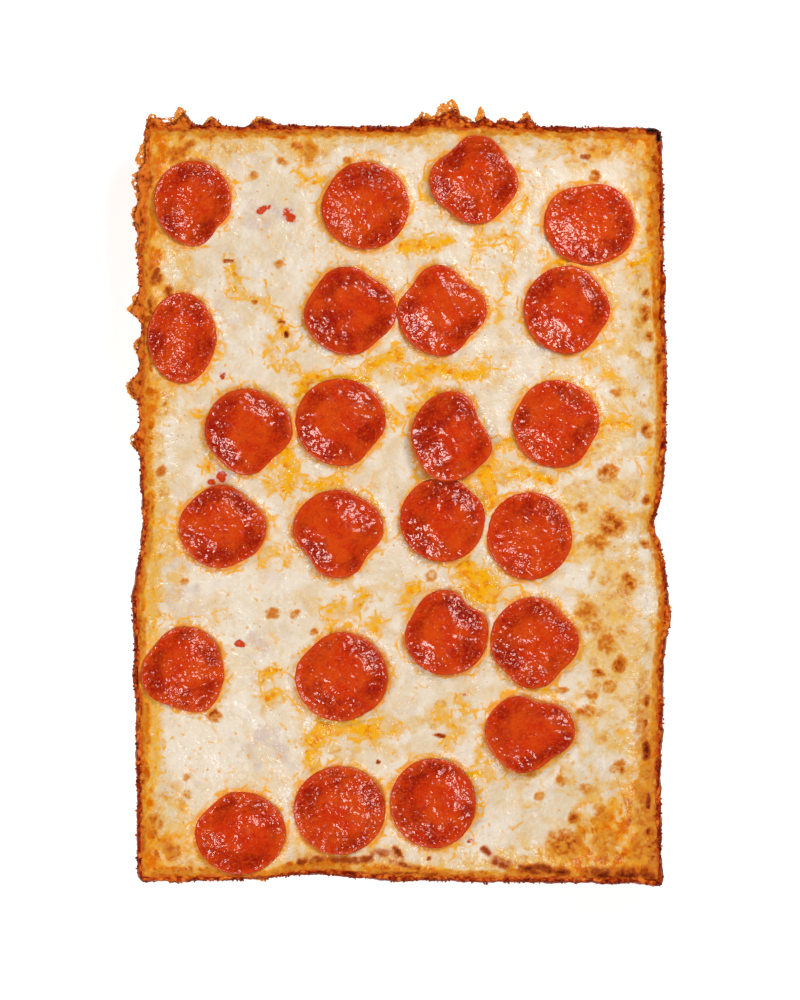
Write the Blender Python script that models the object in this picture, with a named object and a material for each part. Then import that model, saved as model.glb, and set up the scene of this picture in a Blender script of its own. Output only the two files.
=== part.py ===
"""Rectangular pan pizza with twenty-four slices of pepperoni, at its real size.

The crust is a thick slab with a thin wall of caramelised cheese standing round it, the melted
cheese fills the tray inside that wall, and each slice of pepperoni lies on the cheese.
Metres, +Z up. The origin is on the surface that the pizza stands on, under its middle.
The slab is drawn as a plain rectangle, and warp() then pushes its sides in and out.
"""

import math

import bmesh
import bpy
from mathutils import Vector, geometry, noise

MM = 0.001
TURN = 2 * math.pi

# Driving sizes of the slab
HALF_WIDTH = 121 * MM
HALF_LENGTH = 174 * MM
RIM_HEIGHT = 33 * MM
TRAY_FLOOR = 19.5 * MM
CORNER_RADIUS = 4.5 * MM
LEAST_CORNER = 0.6 * MM
EDGE_STEP = 5 * MM
CORNER_STEPS = 3

# The wall's section, from the base up its outside, over the crest and down into the tray:
# how far in from the plain edge, how high, and what share of the crags shows there
BASE_INSET = 9.5 * MM
CREST_INSET = 1.2 * MM
LIP_INSET = 2.8 * MM
LIP_DROP = 1.6 * MM
FOOT_INSET = 4.0 * MM
WALL_SECTION = (
    (BASE_INSET, 0.0, 0.0),
    (6.4 * MM, 1.6 * MM, 0.2),
    (4.6 * MM, 8.5 * MM, 0.9),
    (2.5 * MM, 20 * MM, 1.1),
    (0.3 * MM, RIM_HEIGHT - 4.0 * MM, 1.0),
    (CREST_INSET, RIM_HEIGHT, 1.0),
    (LIP_INSET, RIM_HEIGHT - LIP_DROP, 0.0),
    (FOOT_INSET, TRAY_FLOOR, 0.0),
)
CREST_RING = 5
TUFT_RINGS = (4, 5)
CRAG_OUT = 0.9 * MM
CRAG_UP = 1.1 * MM
CRAG_SIZE = 7 * MM
FINE_CRAGS = 2.3

# Each side's waves: where along the side, and how far out from the plain edge, in millimetres
LEFT_WAVES = (
    (-174, -0.2), (-138, 0.5), (-101, 0.7), (-64, 1.6), (-46, 2.5), (-34, 0.7), (-21, -1.6), (-7, -2.5),
    (9, -1.2), (32, -0.7), (55, -0.2), (74, -2.0), (92, -0.7), (110, -0.2), (129, -1.2), (152, -3.4), (174, -4.6),
)
RIGHT_WAVES = (
    (-174, 0.0), (-156, -0.7), (-127, -1.4), (-97, -0.2), (-78, -0.2), (-64, 1.2), (-53, 2.4), (-41, 2.0),
    (-30, 0.6), (-23, -0.9), (-12, -4.4), (0, -1.4), (9, 0.3), (32, 1.2), (51, 1.6), (92, 0.2), (138, -0.2), (174, -1.2),
)
TOP_WAVES = (
    (-121, -1.0), (-92, -1.5), (-74, -2.2), (-46, -1.7), (0, -2.3), (9, -0.8), (16, 0.4), (27, -0.8),
    (46, -1.5), (69, -2.2), (92, -2.7), (121, -2.9),
)
BOTTOM_WAVES = (
    (-121, 2.0), (-108, 1.2), (-69, 0.8), (-58, 0.0), (-46, -1.5), (-32, -1.7), (-12, 0.5), (0, 1.2),
    (46, 1.7), (92, 2.4), (108, 2.2), (121, 4.6),
)

# How quickly the waves of a long side and of a short side die out towards the middle of the slab
LONG_SIDE_FADE, SHORT_SIDE_FADE = 3, 4

# Tufts of fried cheese on the crest: side, middle along the side, length, reach out, rise, in millimetres
TUFTS = (
    ("top", -117, 7, 3.4, 2.5),
    ("top", -102, 6, 4.6, 3.0),
    ("top", -87, 7, 2.6, 2.0),
    ("top", -64, 11, 2.8, 2.0),
    ("top", 10, 7, 2.2, 2.0),
    ("top", 23, 11, 6.4, 3.5),
    ("top", 37, 5, 6.4, 3.0),
    ("top", 47, 7, 2.8, 2.0),
    ("top", 57, 9, 3.0, 2.0),
    ("left", 168, 7, 2.6, 2.0),
    ("left", 148, 14, 3.6, 2.5),
    ("left", 131, 16, 2.8, 2.0),
    ("left", 88, 9, 3.2, 2.5),
    ("left", 70, 7, 2.8, 2.0),
    ("left", 52, 10, 3.6, 2.5),
    ("left", 27, 8, 2.8, 2.0),
    ("left", -82, 12, 1.2, 1.0),
    ("right", 100, 14, 0.9, 1.0),
    ("right", -53, 13, 0.8, 1.5),
    ("bottom", -100, 6, 1.2, 1.0),
)
TUFT_SHARPNESS = 6.4

# The melted cheese
CHEESE_INSET = 3.35 * MM
CHEESE_FOOT_INSET = 4.6 * MM
GAP = 0.3 * MM
CHEESE_MIDDLE = 25.0 * MM
CHEESE_EDGE_DROP = 1.7 * MM
CLIMB_WIDTH = 24 * MM
CHEESE_STEP = 9.3 * MM
CHEESE_EDGE_STEPS = (3.0 * MM, 6.5 * MM, 11 * MM, 17 * MM)
SWELL_SIZE, SWELL_HEIGHT = 46 * MM, 1.3 * MM
RIPPLE_SIZE, RIPPLE_HEIGHT = 21 * MM, 0.4 * MM
RIPPLE_PLACE = Vector((5.3, 1.7, 2.9))

# The pepperoni
SLICE_THICKNESS = 2.0 * MM
SLICE_LIFT = 0.55 * MM
SLICE_SEGMENTS = 24
EDGE_ROUND = 0.35 * MM
UNDER_RINGS = (0.55, 0.975)
TOP_RINGS = (1.0, 0.86, 0.5)
CUP_POWER = 3

# Each slice: middle x, y, half width, half depth and how far its edge cups up, in millimetres,
# then its flats and corners as (angle in degrees, depth in millimetres, spread in degrees)
SLICES = (
    (-95.2, 136.6, 17.6, 19.5, 0.9, ((-45, 2.2, 22), (0, 0.5, 20))),
    (-16.3, 135.2, 20.2, 20.2, 0.8, ((150, 0.8, 25),)),
    (33.8, 146.7, 20.2, 19.8, 1.4, ((35, 1.6, 20), (130, 2.2, 22), (-130, 1.4, 22), (-42, 1.0, 20))),
    (86.7, 127.2, 20.9, 19.3, 0.7, ((100, 1.4, 26), (-30, -0.8, 20))),
    (-100.5, 74.5, 15.4, 20.9, 0.5, ((10, -0.4, 25),)),
    (-23.4, 86.9, 21.4, 20.2, 0.9, ((52, 1.6, 22), (-45, 1.4, 22), (150, 1.6, 25))),
    (18.7, 86.9, 20.4, 20.7, 1.3, ((50, 2.6, 24), (140, 2.2, 22), (-42, 2.2, 22))),
    (76.4, 87.4, 19.8, 20.3, 0.9, ((38, 1.0, 20), (-35, 1.2, 22))),
    (-70.2, 31.7, 20.0, 19.8, 1.2, ((-47, 2.2, 22), (-135, 1.0, 20), (60, 0.8, 22))),
    (-27.6, 35.9, 20.7, 20.2, 1.0, ((-38, 1.6, 22),)),
    (22.8, 29.0, 18.2, 20.7, 1.8, ((32, 2.8, 28), (-150, 0.8, 25), (-20, -1.2, 18))),
    (71.5, 35.0, 20.0, 20.2, 0.8, ((-30, 1.2, 20), (150, 0.8, 20))),
    (-81.9, -12.4, 20.0, 19.1, 1.0, ((48, 1.6, 22), (-62, 0.9, 20), (135, 0.8, 20))),
    (-28.8, -15.2, 20.7, 20.2, 1.3, ((-35, 2.6, 22), (-145, 2.4, 24), (60, 0.8, 20))),
    (19.4, -9.0, 19.8, 19.6, 1.0, ((45, 1.2, 20), (84, 0.6, 30), (-12, 0.5, 20))),
    (59.2, -16.6, 19.8, 20.2, 0.8, ((30, 0.6, 20), (-140, 0.6, 20), (172, 0.5, 20))),
    (-99.5, -78.2, 19.0, 19.8, 0.6, ((-110, 1.4, 25), (140, 1.2, 22), (-58, -1.2, 16), (15, 0.8, 20))),
    (-27.1, -81.4, 21.4, 20.5, 0.9, ((135, 1.2, 22), (-60, 0.6, 20))),
    (21.2, -61.2, 19.4, 19.6, 1.4, ((52, 2.6, 20), (150, 1.2, 22), (-8, 0.5, 20))),
    (61.3, -65.6, 20.4, 20.9, 1.0, ((45, 1.6, 22), (-45, 1.8, 22), (-135, 1.4, 22), (180, 0.3, 18))),
    (59.1, -106.9, 20.7, 17.4, 1.8, ((72, 2.4, 24), (-45, 2.0, 26), (-110, -1.0, 20))),
    (-73.6, -152.9, 20.9, 18.5, 0.6, ((140, 1.2, 22),)),
    (-28.1, -142.6, 21.2, 20.2, 0.7, ()),
    (15.0, -139.4, 19.8, 20.7, 0.8, ()),
)
# A slice that lies across its neighbour is tipped up on that side: angle in degrees, and rise
TIPPED = {11: (-95, 2.4 * MM)}

# Colour, roughness of each material
MATERIALS = {
    "crust": ((0.42, 0.13, 0.03), 0.6),
    "cheese": ((0.86, 0.68, 0.38), 0.4),
    "pepperoni": ((0.62, 0.07, 0.015), 0.3),
}


def clear_scene():
    for item in list(bpy.data.objects):
        bpy.data.objects.remove(item, do_unlink=True)


def material(name):
    colour, roughness = MATERIALS[name]
    made = bpy.data.materials.new(name)
    made.use_nodes = True
    shader = made.node_tree.nodes["Principled BSDF"]
    shader.inputs["Base Color"].default_value = (*colour, 1.0)
    shader.inputs["Roughness"].default_value = roughness
    shader.inputs["Metallic"].default_value = 0.0
    return made


def smooth_step(share):
    share = min(max(share, 0.0), 1.0)
    return share * share * (3 - 2 * share)


def wave(waves, along):
    """How far a side stands out at a place along it, eased between the listed places."""
    along = along / MM
    if along <= waves[0][0]:
        return waves[0][1] * MM
    for (start, low), (end, high) in zip(waves, waves[1:]):
        if along <= end:
            share = smooth_step((along - start) / (end - start))
            return (low + (high - low) * share) * MM
    return waves[-1][1] * MM


def warp(x, y):
    """A point of the plain rectangle, moved with the waves of the sides that it is near."""
    across = max(-1.0, min(1.0, x / HALF_WIDTH))
    along = max(-1.0, min(1.0, y / HALF_LENGTH))
    side = wave(RIGHT_WAVES, y) if x > 0 else -wave(LEFT_WAVES, y)
    end = wave(TOP_WAVES, x) if y > 0 else -wave(BOTTOM_WAVES, x)
    return x + side * abs(across) ** LONG_SIDE_FADE, y + end * abs(along) ** SHORT_SIDE_FADE


def rounded_rectangle(inset):
    """Points round the plain slab, anticlockwise, each with its outward direction and its side."""
    half_x, half_y = HALF_WIDTH - inset, HALF_LENGTH - inset
    radius = max(CORNER_RADIUS - inset, LEAST_CORNER)
    wide_steps = round(2 * HALF_WIDTH / EDGE_STEP)
    long_steps = round(2 * HALF_LENGTH / EDGE_STEP)
    sides = (
        ("right", Vector((1, 0)), Vector((0, 1)), half_x, half_y, long_steps),
        ("top", Vector((0, 1)), Vector((-1, 0)), half_y, half_x, wide_steps),
        ("left", Vector((-1, 0)), Vector((0, -1)), half_x, half_y, long_steps),
        ("bottom", Vector((0, -1)), Vector((1, 0)), half_y, half_x, wide_steps),
    )
    points = []
    for name, out, forward, reach, half, steps in sides:
        for step in range(steps + 1):
            along = (half - radius) * (2 * step / steps - 1)
            points.append((out * reach + forward * along, out, name))
        corner = out * (reach - radius) + forward * (half - radius)
        for step in range(1, CORNER_STEPS):
            angle = TURN / 4 * step / CORNER_STEPS
            direction = out * math.cos(angle) + forward * math.sin(angle)
            points.append((corner + direction * radius, direction, name))
    return points


def crag(point, height):
    """Rough relief of the browned wall, between -1 and 1."""
    place = Vector((point.x, point.y, height)) / CRAG_SIZE
    return noise.noise(place) + 0.5 * noise.noise(place * FINE_CRAGS)


def tuft(name, point):
    """Reach and rise of the fried cheese that stands out from the crest at this place."""
    along = (point.x if name in ("top", "bottom") else point.y) / MM
    reach = rise = 0.0
    for side, middle, length, out, up in TUFTS:
        if side == name:
            share = math.exp(-TUFT_SHARPNESS * ((along - middle) / length) ** 2)
            reach = max(reach, out * share)
            rise = max(rise, up * share)
    return reach * MM, rise * MM


def wall_ring(number, inset, height, share):
    """One ring of the wall's section, with its crags and tufts, as points in space."""
    ring = []
    for point, out, name in rounded_rectangle(inset):
        relief = crag(point, height) * share
        outward = CRAG_OUT * relief
        upward = CRAG_UP * relief if number == CREST_RING else 0.0
        if number in TUFT_RINGS:
            reach, rise = tuft(name, point)
            outward += reach
            upward += rise
        x, y = warp(point.x, point.y)
        ring.append(Vector((x + out.x * outward, y + out.y * outward, height + upward)))
    return ring


def bridge(mesh, low, high):
    """Faces between two rings of vertices that have the same count, facing away from the axis."""
    count = len(low)
    for index in range(count):
        after = (index + 1) % count
        mesh.faces.new((low[index], low[after], high[after], high[index]))


def finish(mesh, name, look, pizza):
    """A bmesh as a named object under the pizza's empty, shaded smooth."""
    bmesh.ops.recalc_face_normals(mesh, faces=mesh.faces)
    bmesh.ops.triangulate(mesh, faces=mesh.faces)
    data = bpy.data.meshes.new(name)
    mesh.to_mesh(data)
    mesh.free()
    data.shade_smooth()
    data.set_sharp_from_angle(angle=math.radians(50))
    data.materials.append(look)
    item = bpy.data.objects.new(name, data)
    bpy.context.scene.collection.objects.link(item)
    item.parent = pizza
    return item


def crust(pizza):
    """The slab: flat base, flared craggy wall, crest, and the tray that holds the cheese."""
    mesh = bmesh.new()
    rings = []
    for number, (inset, height, share) in enumerate(WALL_SECTION):
        ring = wall_ring(number, inset, height, share)
        rings.append([mesh.verts.new(place) for place in ring])
    for low, high in zip(rings, rings[1:]):
        bridge(mesh, low, high)
    mesh.faces.new(reversed(rings[0]))
    mesh.faces.new(rings[-1])
    return finish(mesh, "crust", material("crust"), pizza)


def cheese_top(x, y):
    """Height of the melted cheese at a point of the plain rectangle."""
    in_from_side = HALF_WIDTH - CHEESE_INSET - abs(x)
    in_from_end = HALF_LENGTH - CHEESE_INSET - abs(y)
    side_climb = (1 - smooth_step(in_from_side / CLIMB_WIDTH)) ** 2
    end_climb = (1 - smooth_step(in_from_end / CLIMB_WIDTH)) ** 2
    climb = 1 - (1 - side_climb) * (1 - end_climb)
    full_climb = RIM_HEIGHT - CHEESE_EDGE_DROP - CHEESE_MIDDLE
    place = Vector((x, y, 0.0))
    swell = SWELL_HEIGHT * noise.noise(place / SWELL_SIZE)
    ripple = RIPPLE_HEIGHT * noise.noise(place / RIPPLE_SIZE + RIPPLE_PLACE)
    return CHEESE_MIDDLE + full_climb * climb + (swell + ripple) * (1 - climb)


def grid_places(half):
    """Places along one direction of the cheese, closer together where it climbs to the wall."""
    near = [half - CHEESE_INSET - step for step in CHEESE_EDGE_STEPS]
    count = round(2 * near[-1] / CHEESE_STEP)
    middle = [near[-1] * (2 * step / count - 1) for step in range(1, count)]
    return [-place for place in near] + middle + near[::-1]


def cheese(pizza):
    """The melted cheese: a wavy top that climbs to the wall, straight sides and a flat underside."""
    border = [point for point, out, name in rounded_rectangle(CHEESE_INSET)]
    inside = [Vector((x, y)) for x in grid_places(HALF_WIDTH) for y in grid_places(HALF_LENGTH)]
    count = len(border)
    fence = [(index, (index + 1) % count) for index in range(count)]
    places, edges, faces = geometry.delaunay_2d_cdt(border + inside, fence, [], 1, 1e-6)[:3]
    mesh = bmesh.new()
    top = [mesh.verts.new((*warp(x, y), cheese_top(x, y))) for x, y in places]
    for face in faces:
        mesh.faces.new([top[index] for index in face])
    foot = []
    for point, out, name in rounded_rectangle(CHEESE_FOOT_INSET):
        foot.append(mesh.verts.new((*warp(point.x, point.y), TRAY_FLOOR + GAP)))
    bridge(mesh, foot, top[:count])
    mesh.faces.new(reversed(foot))
    return finish(mesh, "cheese", material("cheese"), pizza)


def slice_radius(half_width, half_depth, flats, angle):
    """The slice's outline: an oval with flats pressed into it and corners pulled out of it."""
    oval = 1 / math.hypot(math.cos(angle) / half_width, math.sin(angle) / half_depth)
    for middle, depth, spread in flats:
        apart = (math.degrees(angle) - middle + 180) % 360 - 180
        oval -= depth * math.exp(-((apart / spread) ** 2))
    return oval * MM


def unwarped(x, y):
    """The point of the plain rectangle that warp() brings to this place."""
    plain_x, plain_y = x, y
    for _ in range(4):
        moved_x, moved_y = warp(plain_x, plain_y)
        plain_x += x - moved_x
        plain_y += y - moved_y
    return plain_x, plain_y


def pepperoni(number, pizza, look):
    """One slice of pepperoni, bent to the cheese that it lies on, with its edge cupped up."""
    middle_x, middle_y, half_width, half_depth, cup, flats = SLICES[number - 1]
    tip_angle, tip_rise = TIPPED.get(number, (0, 0.0))
    tip = Vector((math.cos(math.radians(tip_angle)), math.sin(math.radians(tip_angle))))

    def under(share, angle, inward=0.0):
        radius = slice_radius(half_width, half_depth, flats, angle)
        from_middle = Vector((math.cos(angle), math.sin(angle))) * (radius * share - inward)
        x = middle_x * MM + from_middle.x
        y = middle_y * MM + from_middle.y
        tipped = tip_rise * (0.5 + 0.5 * from_middle.dot(tip) / radius)
        rise = SLICE_LIFT + cup * MM * share**CUP_POWER + tipped
        return Vector((x, y, cheese_top(*unwarped(x, y)) + rise))

    up = Vector((0, 0, SLICE_THICKNESS))
    angles = [TURN * step / SLICE_SEGMENTS for step in range(SLICE_SEGMENTS)]
    mesh = bmesh.new()
    low_middle = mesh.verts.new(under(0, 0))
    high_middle = mesh.verts.new(under(0, 0) + up)
    rings = [[mesh.verts.new(under(share, angle)) for angle in angles] for share in UNDER_RINGS]
    ease = Vector((0, 0, EDGE_ROUND))
    for share in TOP_RINGS:
        drop = ease if share == TOP_RINGS[0] else Vector((0, 0, 0))
        rings.append([mesh.verts.new(under(share, angle) + up - drop) for angle in angles])
    for low, high in zip(rings, rings[1:]):
        bridge(mesh, low, high)
    for index in range(SLICE_SEGMENTS):
        after = (index + 1) % SLICE_SEGMENTS
        mesh.faces.new((low_middle, rings[0][after], rings[0][index]))
        mesh.faces.new((high_middle, rings[-1][index], rings[-1][after]))
    return finish(mesh, f"pepperoni_{number:02d}", look, pizza)


def stand_over_origin(pizza, body):
    """Moves the whole pizza so that the middle of its outline is over the origin."""
    corners = [Vector(corner) for corner in body.bound_box]
    low_x, high_x = min(c.x for c in corners), max(c.x for c in corners)
    low_y, high_y = min(c.y for c in corners), max(c.y for c in corners)
    pizza.location = (-(low_x + high_x) / 2, -(low_y + high_y) / 2, 0)


def main():
    clear_scene()
    pizza = bpy.data.objects.new("pizza", None)
    bpy.context.scene.collection.objects.link(pizza)
    body = crust(pizza)
    cheese(pizza)
    look = material("pepperoni")
    for number in range(1, len(SLICES) + 1):
        pepperoni(number, pizza, look)
    bpy.context.view_layer.update()
    stand_over_origin(pizza, body)


main()
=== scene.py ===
"""A rectangular pepperoni pan pizza: its baked crust, melted cheese and slices of pepperoni."""

import math

import bpy
import numpy as np
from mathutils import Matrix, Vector, noise
from mathutils.bvhtree import BVHTree


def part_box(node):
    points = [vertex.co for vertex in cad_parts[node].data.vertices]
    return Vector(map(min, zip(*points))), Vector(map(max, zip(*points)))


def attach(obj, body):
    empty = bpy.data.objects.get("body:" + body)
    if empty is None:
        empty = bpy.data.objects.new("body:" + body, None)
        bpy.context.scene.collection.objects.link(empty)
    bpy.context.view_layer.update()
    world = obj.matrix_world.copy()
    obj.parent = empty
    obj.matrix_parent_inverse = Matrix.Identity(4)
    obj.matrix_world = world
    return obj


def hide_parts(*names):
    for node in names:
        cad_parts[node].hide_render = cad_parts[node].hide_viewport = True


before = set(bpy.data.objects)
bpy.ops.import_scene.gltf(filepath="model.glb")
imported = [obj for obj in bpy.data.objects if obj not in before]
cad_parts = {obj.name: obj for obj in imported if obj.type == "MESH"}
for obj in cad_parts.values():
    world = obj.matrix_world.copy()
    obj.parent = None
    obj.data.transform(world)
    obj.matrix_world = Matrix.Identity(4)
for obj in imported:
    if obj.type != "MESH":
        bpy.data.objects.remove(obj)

bl_info = {
    "name": "Pepperoni pan pizza",
    "version": (1, 0, 0),
    "blender": (4, 5, 0),
    "location": "3D View > Sidebar > Pizza",
    "description": "Finishes the crust, the cheese and the pepperoni of a rectangular pan pizza",
    "category": "Add Mesh",
}

MM = 0.001
TURN = 2 * math.pi
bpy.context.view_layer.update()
SEED_STEP = 17.3
BODY = "root"
SLICE_NODES = sorted(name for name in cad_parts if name.startswith("pepperoni"))

# The photograph's scale, and its pixel that lies over the origin
PIXEL = 0.46 * MM
ORIGIN_PIXEL = (400.9, 498.9)
PHOTO_SIZE = (800, 1000)

# Grease on the cheese: half a streak's width in millimetres, how deep its colour is,
# and the pixels of the photograph that it runs through
GREASE = (
    (1.0, 1.0, (231, 261), (234, 276), (234, 291)),
    (0.6, 0.9, (234, 291), (259, 299), (270, 308), (280, 321)),
    (1.9, 1.0, (284, 328), (287, 334)),
    (0.5, 0.7, (266, 346), (272, 360), (280, 367), (295, 366)),
    (0.5, 0.7, (280, 367), (295, 372), (310, 375)),
    (0.5, 0.6, (266, 346), (276, 337), (290, 345)),
    (2.6, 1.0, (299, 391), (305, 383), (313, 377)),
    (1.6, 0.9, (313, 377), (332, 378), (366, 380)),
    (1.4, 0.9, (386, 414), (398, 423)),
    (2.4, 1.0, (286, 453), (290, 470), (287, 490)),
    (1.3, 0.8, (270, 482), (271, 488)),
    (1.9, 0.9, (307, 484), (325, 485), (341, 482)),
    (0.8, 0.8, (199, 410), (214, 412)),
    (2.6, 1.0, (368, 368), (384, 361), (398, 354)),
    (2.2, 0.9, (404, 246), (425, 245), (448, 239)),
    (1.2, 0.9, (482, 240), (500, 235), (515, 239), (513, 251)),
    (1.0, 0.8, (507, 275), (505, 286)),
    (0.9, 0.7, (517, 219), (524, 206), (527, 197)),
    (0.9, 0.6, (427, 189), (427, 199)),
    (0.8, 0.6, (477, 250), (476, 259)),
    (0.8, 0.6, (497, 305), (497, 320)),
    (1.0, 0.8, (297, 172), (310, 185), (322, 178)),
    (1.7, 0.8, (549, 261), (568, 260)),
    (1.5, 0.8, (633, 265), (653, 254)),
    (2.4, 1.0, (411, 375), (438, 368), (470, 377), (484, 368)),
    (1.8, 0.9, (411, 408), (419, 414)),
    (1.6, 0.8, (425, 398), (438, 391)),
    (1.8, 0.9, (499, 446), (507, 442), (516, 440)),
    (1.6, 0.8, (514, 470), (527, 472)),
    (4.0, 1.0, (483, 474), (488, 486), (489, 499)),
    (1.9, 0.9, (536, 476), (553, 481)),
    (1.3, 0.6, (585, 361), (589, 361)),
    (1.1, 0.6, (611, 375), (613, 376)),
    (1.6, 0.9, (601, 424), (615, 423), (630, 424)),
    (0.9, 0.9, (287, 557), (275, 553), (265, 550), (262, 563)),
    (1.4, 0.9, (357, 612), (364, 594)),
    (1.5, 0.9, (374, 632), (379, 620)),
    (0.9, 0.8, (330, 616), (330, 636)),
    (1.3, 0.9, (280, 670), (270, 673), (263, 680)),
    (1.7, 0.9, (266, 699), (277, 694)),
    (3.6, 0.9, (313, 742), (325, 729), (348, 724), (372, 732)),
    (1.8, 0.9, (309, 754), (313, 770)),
    (1.5, 0.7, (393, 732), (398, 732)),
    (4.6, 1.0, (465, 572), (478, 577), (490, 594)),
    (2.4, 1.0, (469, 590), (484, 603)),
    (1.9, 0.9, (406, 601), (412, 591), (418, 588)),
    (0.8, 0.9, (438, 711), (448, 722), (457, 730)),
    (0.8, 0.9, (449, 716), (450, 730), (448, 746)),
    (0.8, 0.9, (459, 700), (468, 713)),
    (1.4, 0.7, (457, 783), (470, 776), (488, 775)),
    (0.9, 0.8, (483, 745), (479, 765)),
    (1.2, 0.8, (330, 612), (342, 604)),
    (1.0, 0.7, (212, 448), (207, 470)),
    (1.0, 0.8, (538, 690), (552, 693)),
)

# Browned blisters: pixel, half width and half depth in millimetres, how brown
BLISTERS = (
    (252, 176, 3.0, 2.0, 0.5), (279, 264, 2.2, 2.4, 0.6), (255, 302, 2.0, 1.5, 0.7),
    (184, 582, 2.2, 1.6, 0.6), (272, 613, 3.2, 2.2, 0.7), (295, 616, 2.2, 2.6, 0.6),
    (313, 633, 2.0, 1.6, 0.9), (431, 577, 2.6, 2.6, 0.5), (161, 468, 2.0, 2.6, 0.8),
    (163, 403, 2.0, 1.8, 0.5), (618, 392, 3.2, 2.2, 0.5), (608, 474, 4.6, 4.0, 0.7),
    (612, 524, 6.0, 6.0, 0.8), (598, 542, 5.5, 4.0, 0.6), (582, 507, 3.0, 2.6, 0.6),
    (628, 583, 3.2, 4.8, 0.8), (587, 612, 6.0, 4.5, 0.6), (594, 628, 5.0, 3.4, 0.5),
    (621, 632, 2.4, 2.4, 0.6), (608, 645, 4.4, 4.4, 0.6), (620, 665, 3.0, 4.2, 1.0),
    (599, 673, 2.8, 2.2, 0.9), (610, 688, 3.4, 2.8, 0.8), (591, 695, 3.0, 2.6, 0.6),
    (561, 689, 3.2, 1.8, 0.7), (587, 712, 5.0, 2.4, 0.7), (646, 751, 2.6, 4.0, 1.0),
    (565, 843, 8.4, 6.4, 0.7), (573, 818, 3.0, 3.0, 0.7), (605, 843, 6.0, 6.0, 0.5),
    (620, 768, 3.8, 3.4, 0.7), (586, 790, 3.0, 2.4, 0.4), (530, 774, 3.0, 2.0, 0.4),
    (561, 780, 3.4, 2.4, 0.5), (540, 797, 2.2, 2.0, 0.5), (600, 815, 4.0, 5.0, 0.5),
    (640, 850, 4.0, 5.0, 0.6), (187, 778, 2.2, 1.6, 0.4), (186, 795, 2.6, 2.0, 0.5),
    (155, 820, 4.0, 3.6, 0.7), (171, 848, 4.0, 3.0, 0.6), (311, 152, 3.4, 5.0, 0.6),
    (281, 160, 3.0, 2.0, 0.5), (349, 161, 2.0, 1.8, 0.7), (178, 152, 4.8, 3.0, 0.8),
    (190, 144, 3.0, 2.2, 0.7), (156, 277, 3.0, 3.4, 0.9), (168, 290, 2.4, 3.0, 0.9),
    (596, 176, 3.4, 3.0, 0.8), (647, 293, 2.6, 2.2, 0.9), (645, 314, 2.8, 3.6, 0.8),
    (648, 336, 2.4, 2.6, 0.7), (647, 430, 2.6, 3.4, 0.8), (645, 501, 2.4, 3.0, 0.8),
    (646, 545, 2.4, 1.8, 0.8), (213, 716, 3.6, 3.4, 0.9), (148, 315, 2.6, 9.0, 1.0),
    (147, 240, 2.0, 7.0, 0.7), (149, 180, 2.2, 9.0, 0.9), (655, 160, 2.4, 9.0, 0.9),
    (651, 846, 2.4, 9.0, 0.8), (643, 812, 3.4, 22.0, 0.5), (643, 722, 3.6, 20.0, 0.4),
)

# Peeks of sauce: pixel, half width and half depth in millimetres
SAUCE = (
    (261, 208, 2.6, 2.4), (268, 206, 1.6, 1.6), (289, 216, 3.4, 4.4), (222, 476, 2.6, 3.6),
    (213, 483, 2.6, 1.6), (240, 644, 2.4, 1.6), (221, 375, 2.0, 1.8), (465, 697, 1.6, 1.8),
    (440, 736, 2.2, 1.2), (471, 843, 1.8, 1.2),
)

# Burnt places: half a streak's width in millimetres, how burnt, and its pixels
CHAR = (
    (1.8, 0.6, (300, 861), (330, 859), (350, 861), (372, 857)),
    (2.4, 0.42, (374, 853), (402, 856)),
    (1.4, 0.7, (396, 849), (400, 854)),
    (1.4, 0.5, (392, 861), (418, 868)),
    (0.9, 0.6, (356, 872), (420, 873), (470, 875)),
    (1.8, 0.6, (484, 849), (489, 853)),
    (2.4, 0.65, (496, 861), (507, 864)),
    (2.4, 0.75, (522, 868), (544, 868), (566, 871)),
    (4.0, 0.7, (590, 875), (618, 874), (648, 873)),
    (2.4, 2.8, (650, 130), (660, 131), (661, 143)),
    (1.3, 0.35, (171, 161), (180, 152), (191, 143)),
    (1.0, 0.6, (583, 157), (589, 157)),
    (0.6, 0.9, (224, 261), (232, 260)),
    (0.7, 0.9, (280, 321), (285, 322)),
    (0.9, 0.9, (286, 333), (287, 336)),
    (1.0, 0.85, (647, 697), (647, 704)),
    (0.9, 0.8, (645, 721), (645, 724)),
    (1.9, 0.9, (646, 745), (646, 757)),
    (1.0, 0.85, (647, 794), (647, 807)),
    (1.1, 0.85, (647, 830), (647, 833)),
    (1.6, 0.75, (620, 662), (622, 669)),
    (1.1, 0.7, (658, 355), (658, 362)),
    (0.6, 1.0, (377, 762), (378, 763)),
    (0.6, 0.8, (429, 858), (430, 858)),
    (0.7, 1.0, (439, 736), (444, 737)),
    (1.0, 0.6, (599, 672), (603, 674)),
    (1.2, 0.7, (157, 270), (153, 284)),
    (0.9, 0.7, (167, 287), (169, 293)),
    (0.9, 0.55, (349, 160), (350, 163)),
)

# Zones where the cheese has turned gold: pixel, half width and half depth in millimetres, strength
GOLD_ZONES = (
    (618, 838, 24.0, 26.0, 0.95), (580, 852, 22.0, 12.0, 0.8), (645, 790, 9.0, 26.0, 0.7),
    (164, 848, 13.0, 11.0, 0.85), (164, 143, 15.0, 13.0, 1.0), (200, 136, 20.0, 4.5, 0.95),
    (308, 147, 8.0, 9.0, 0.85), (645, 150, 9.0, 14.0, 0.8), (600, 145, 26.0, 7.0, 0.6),
)

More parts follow.
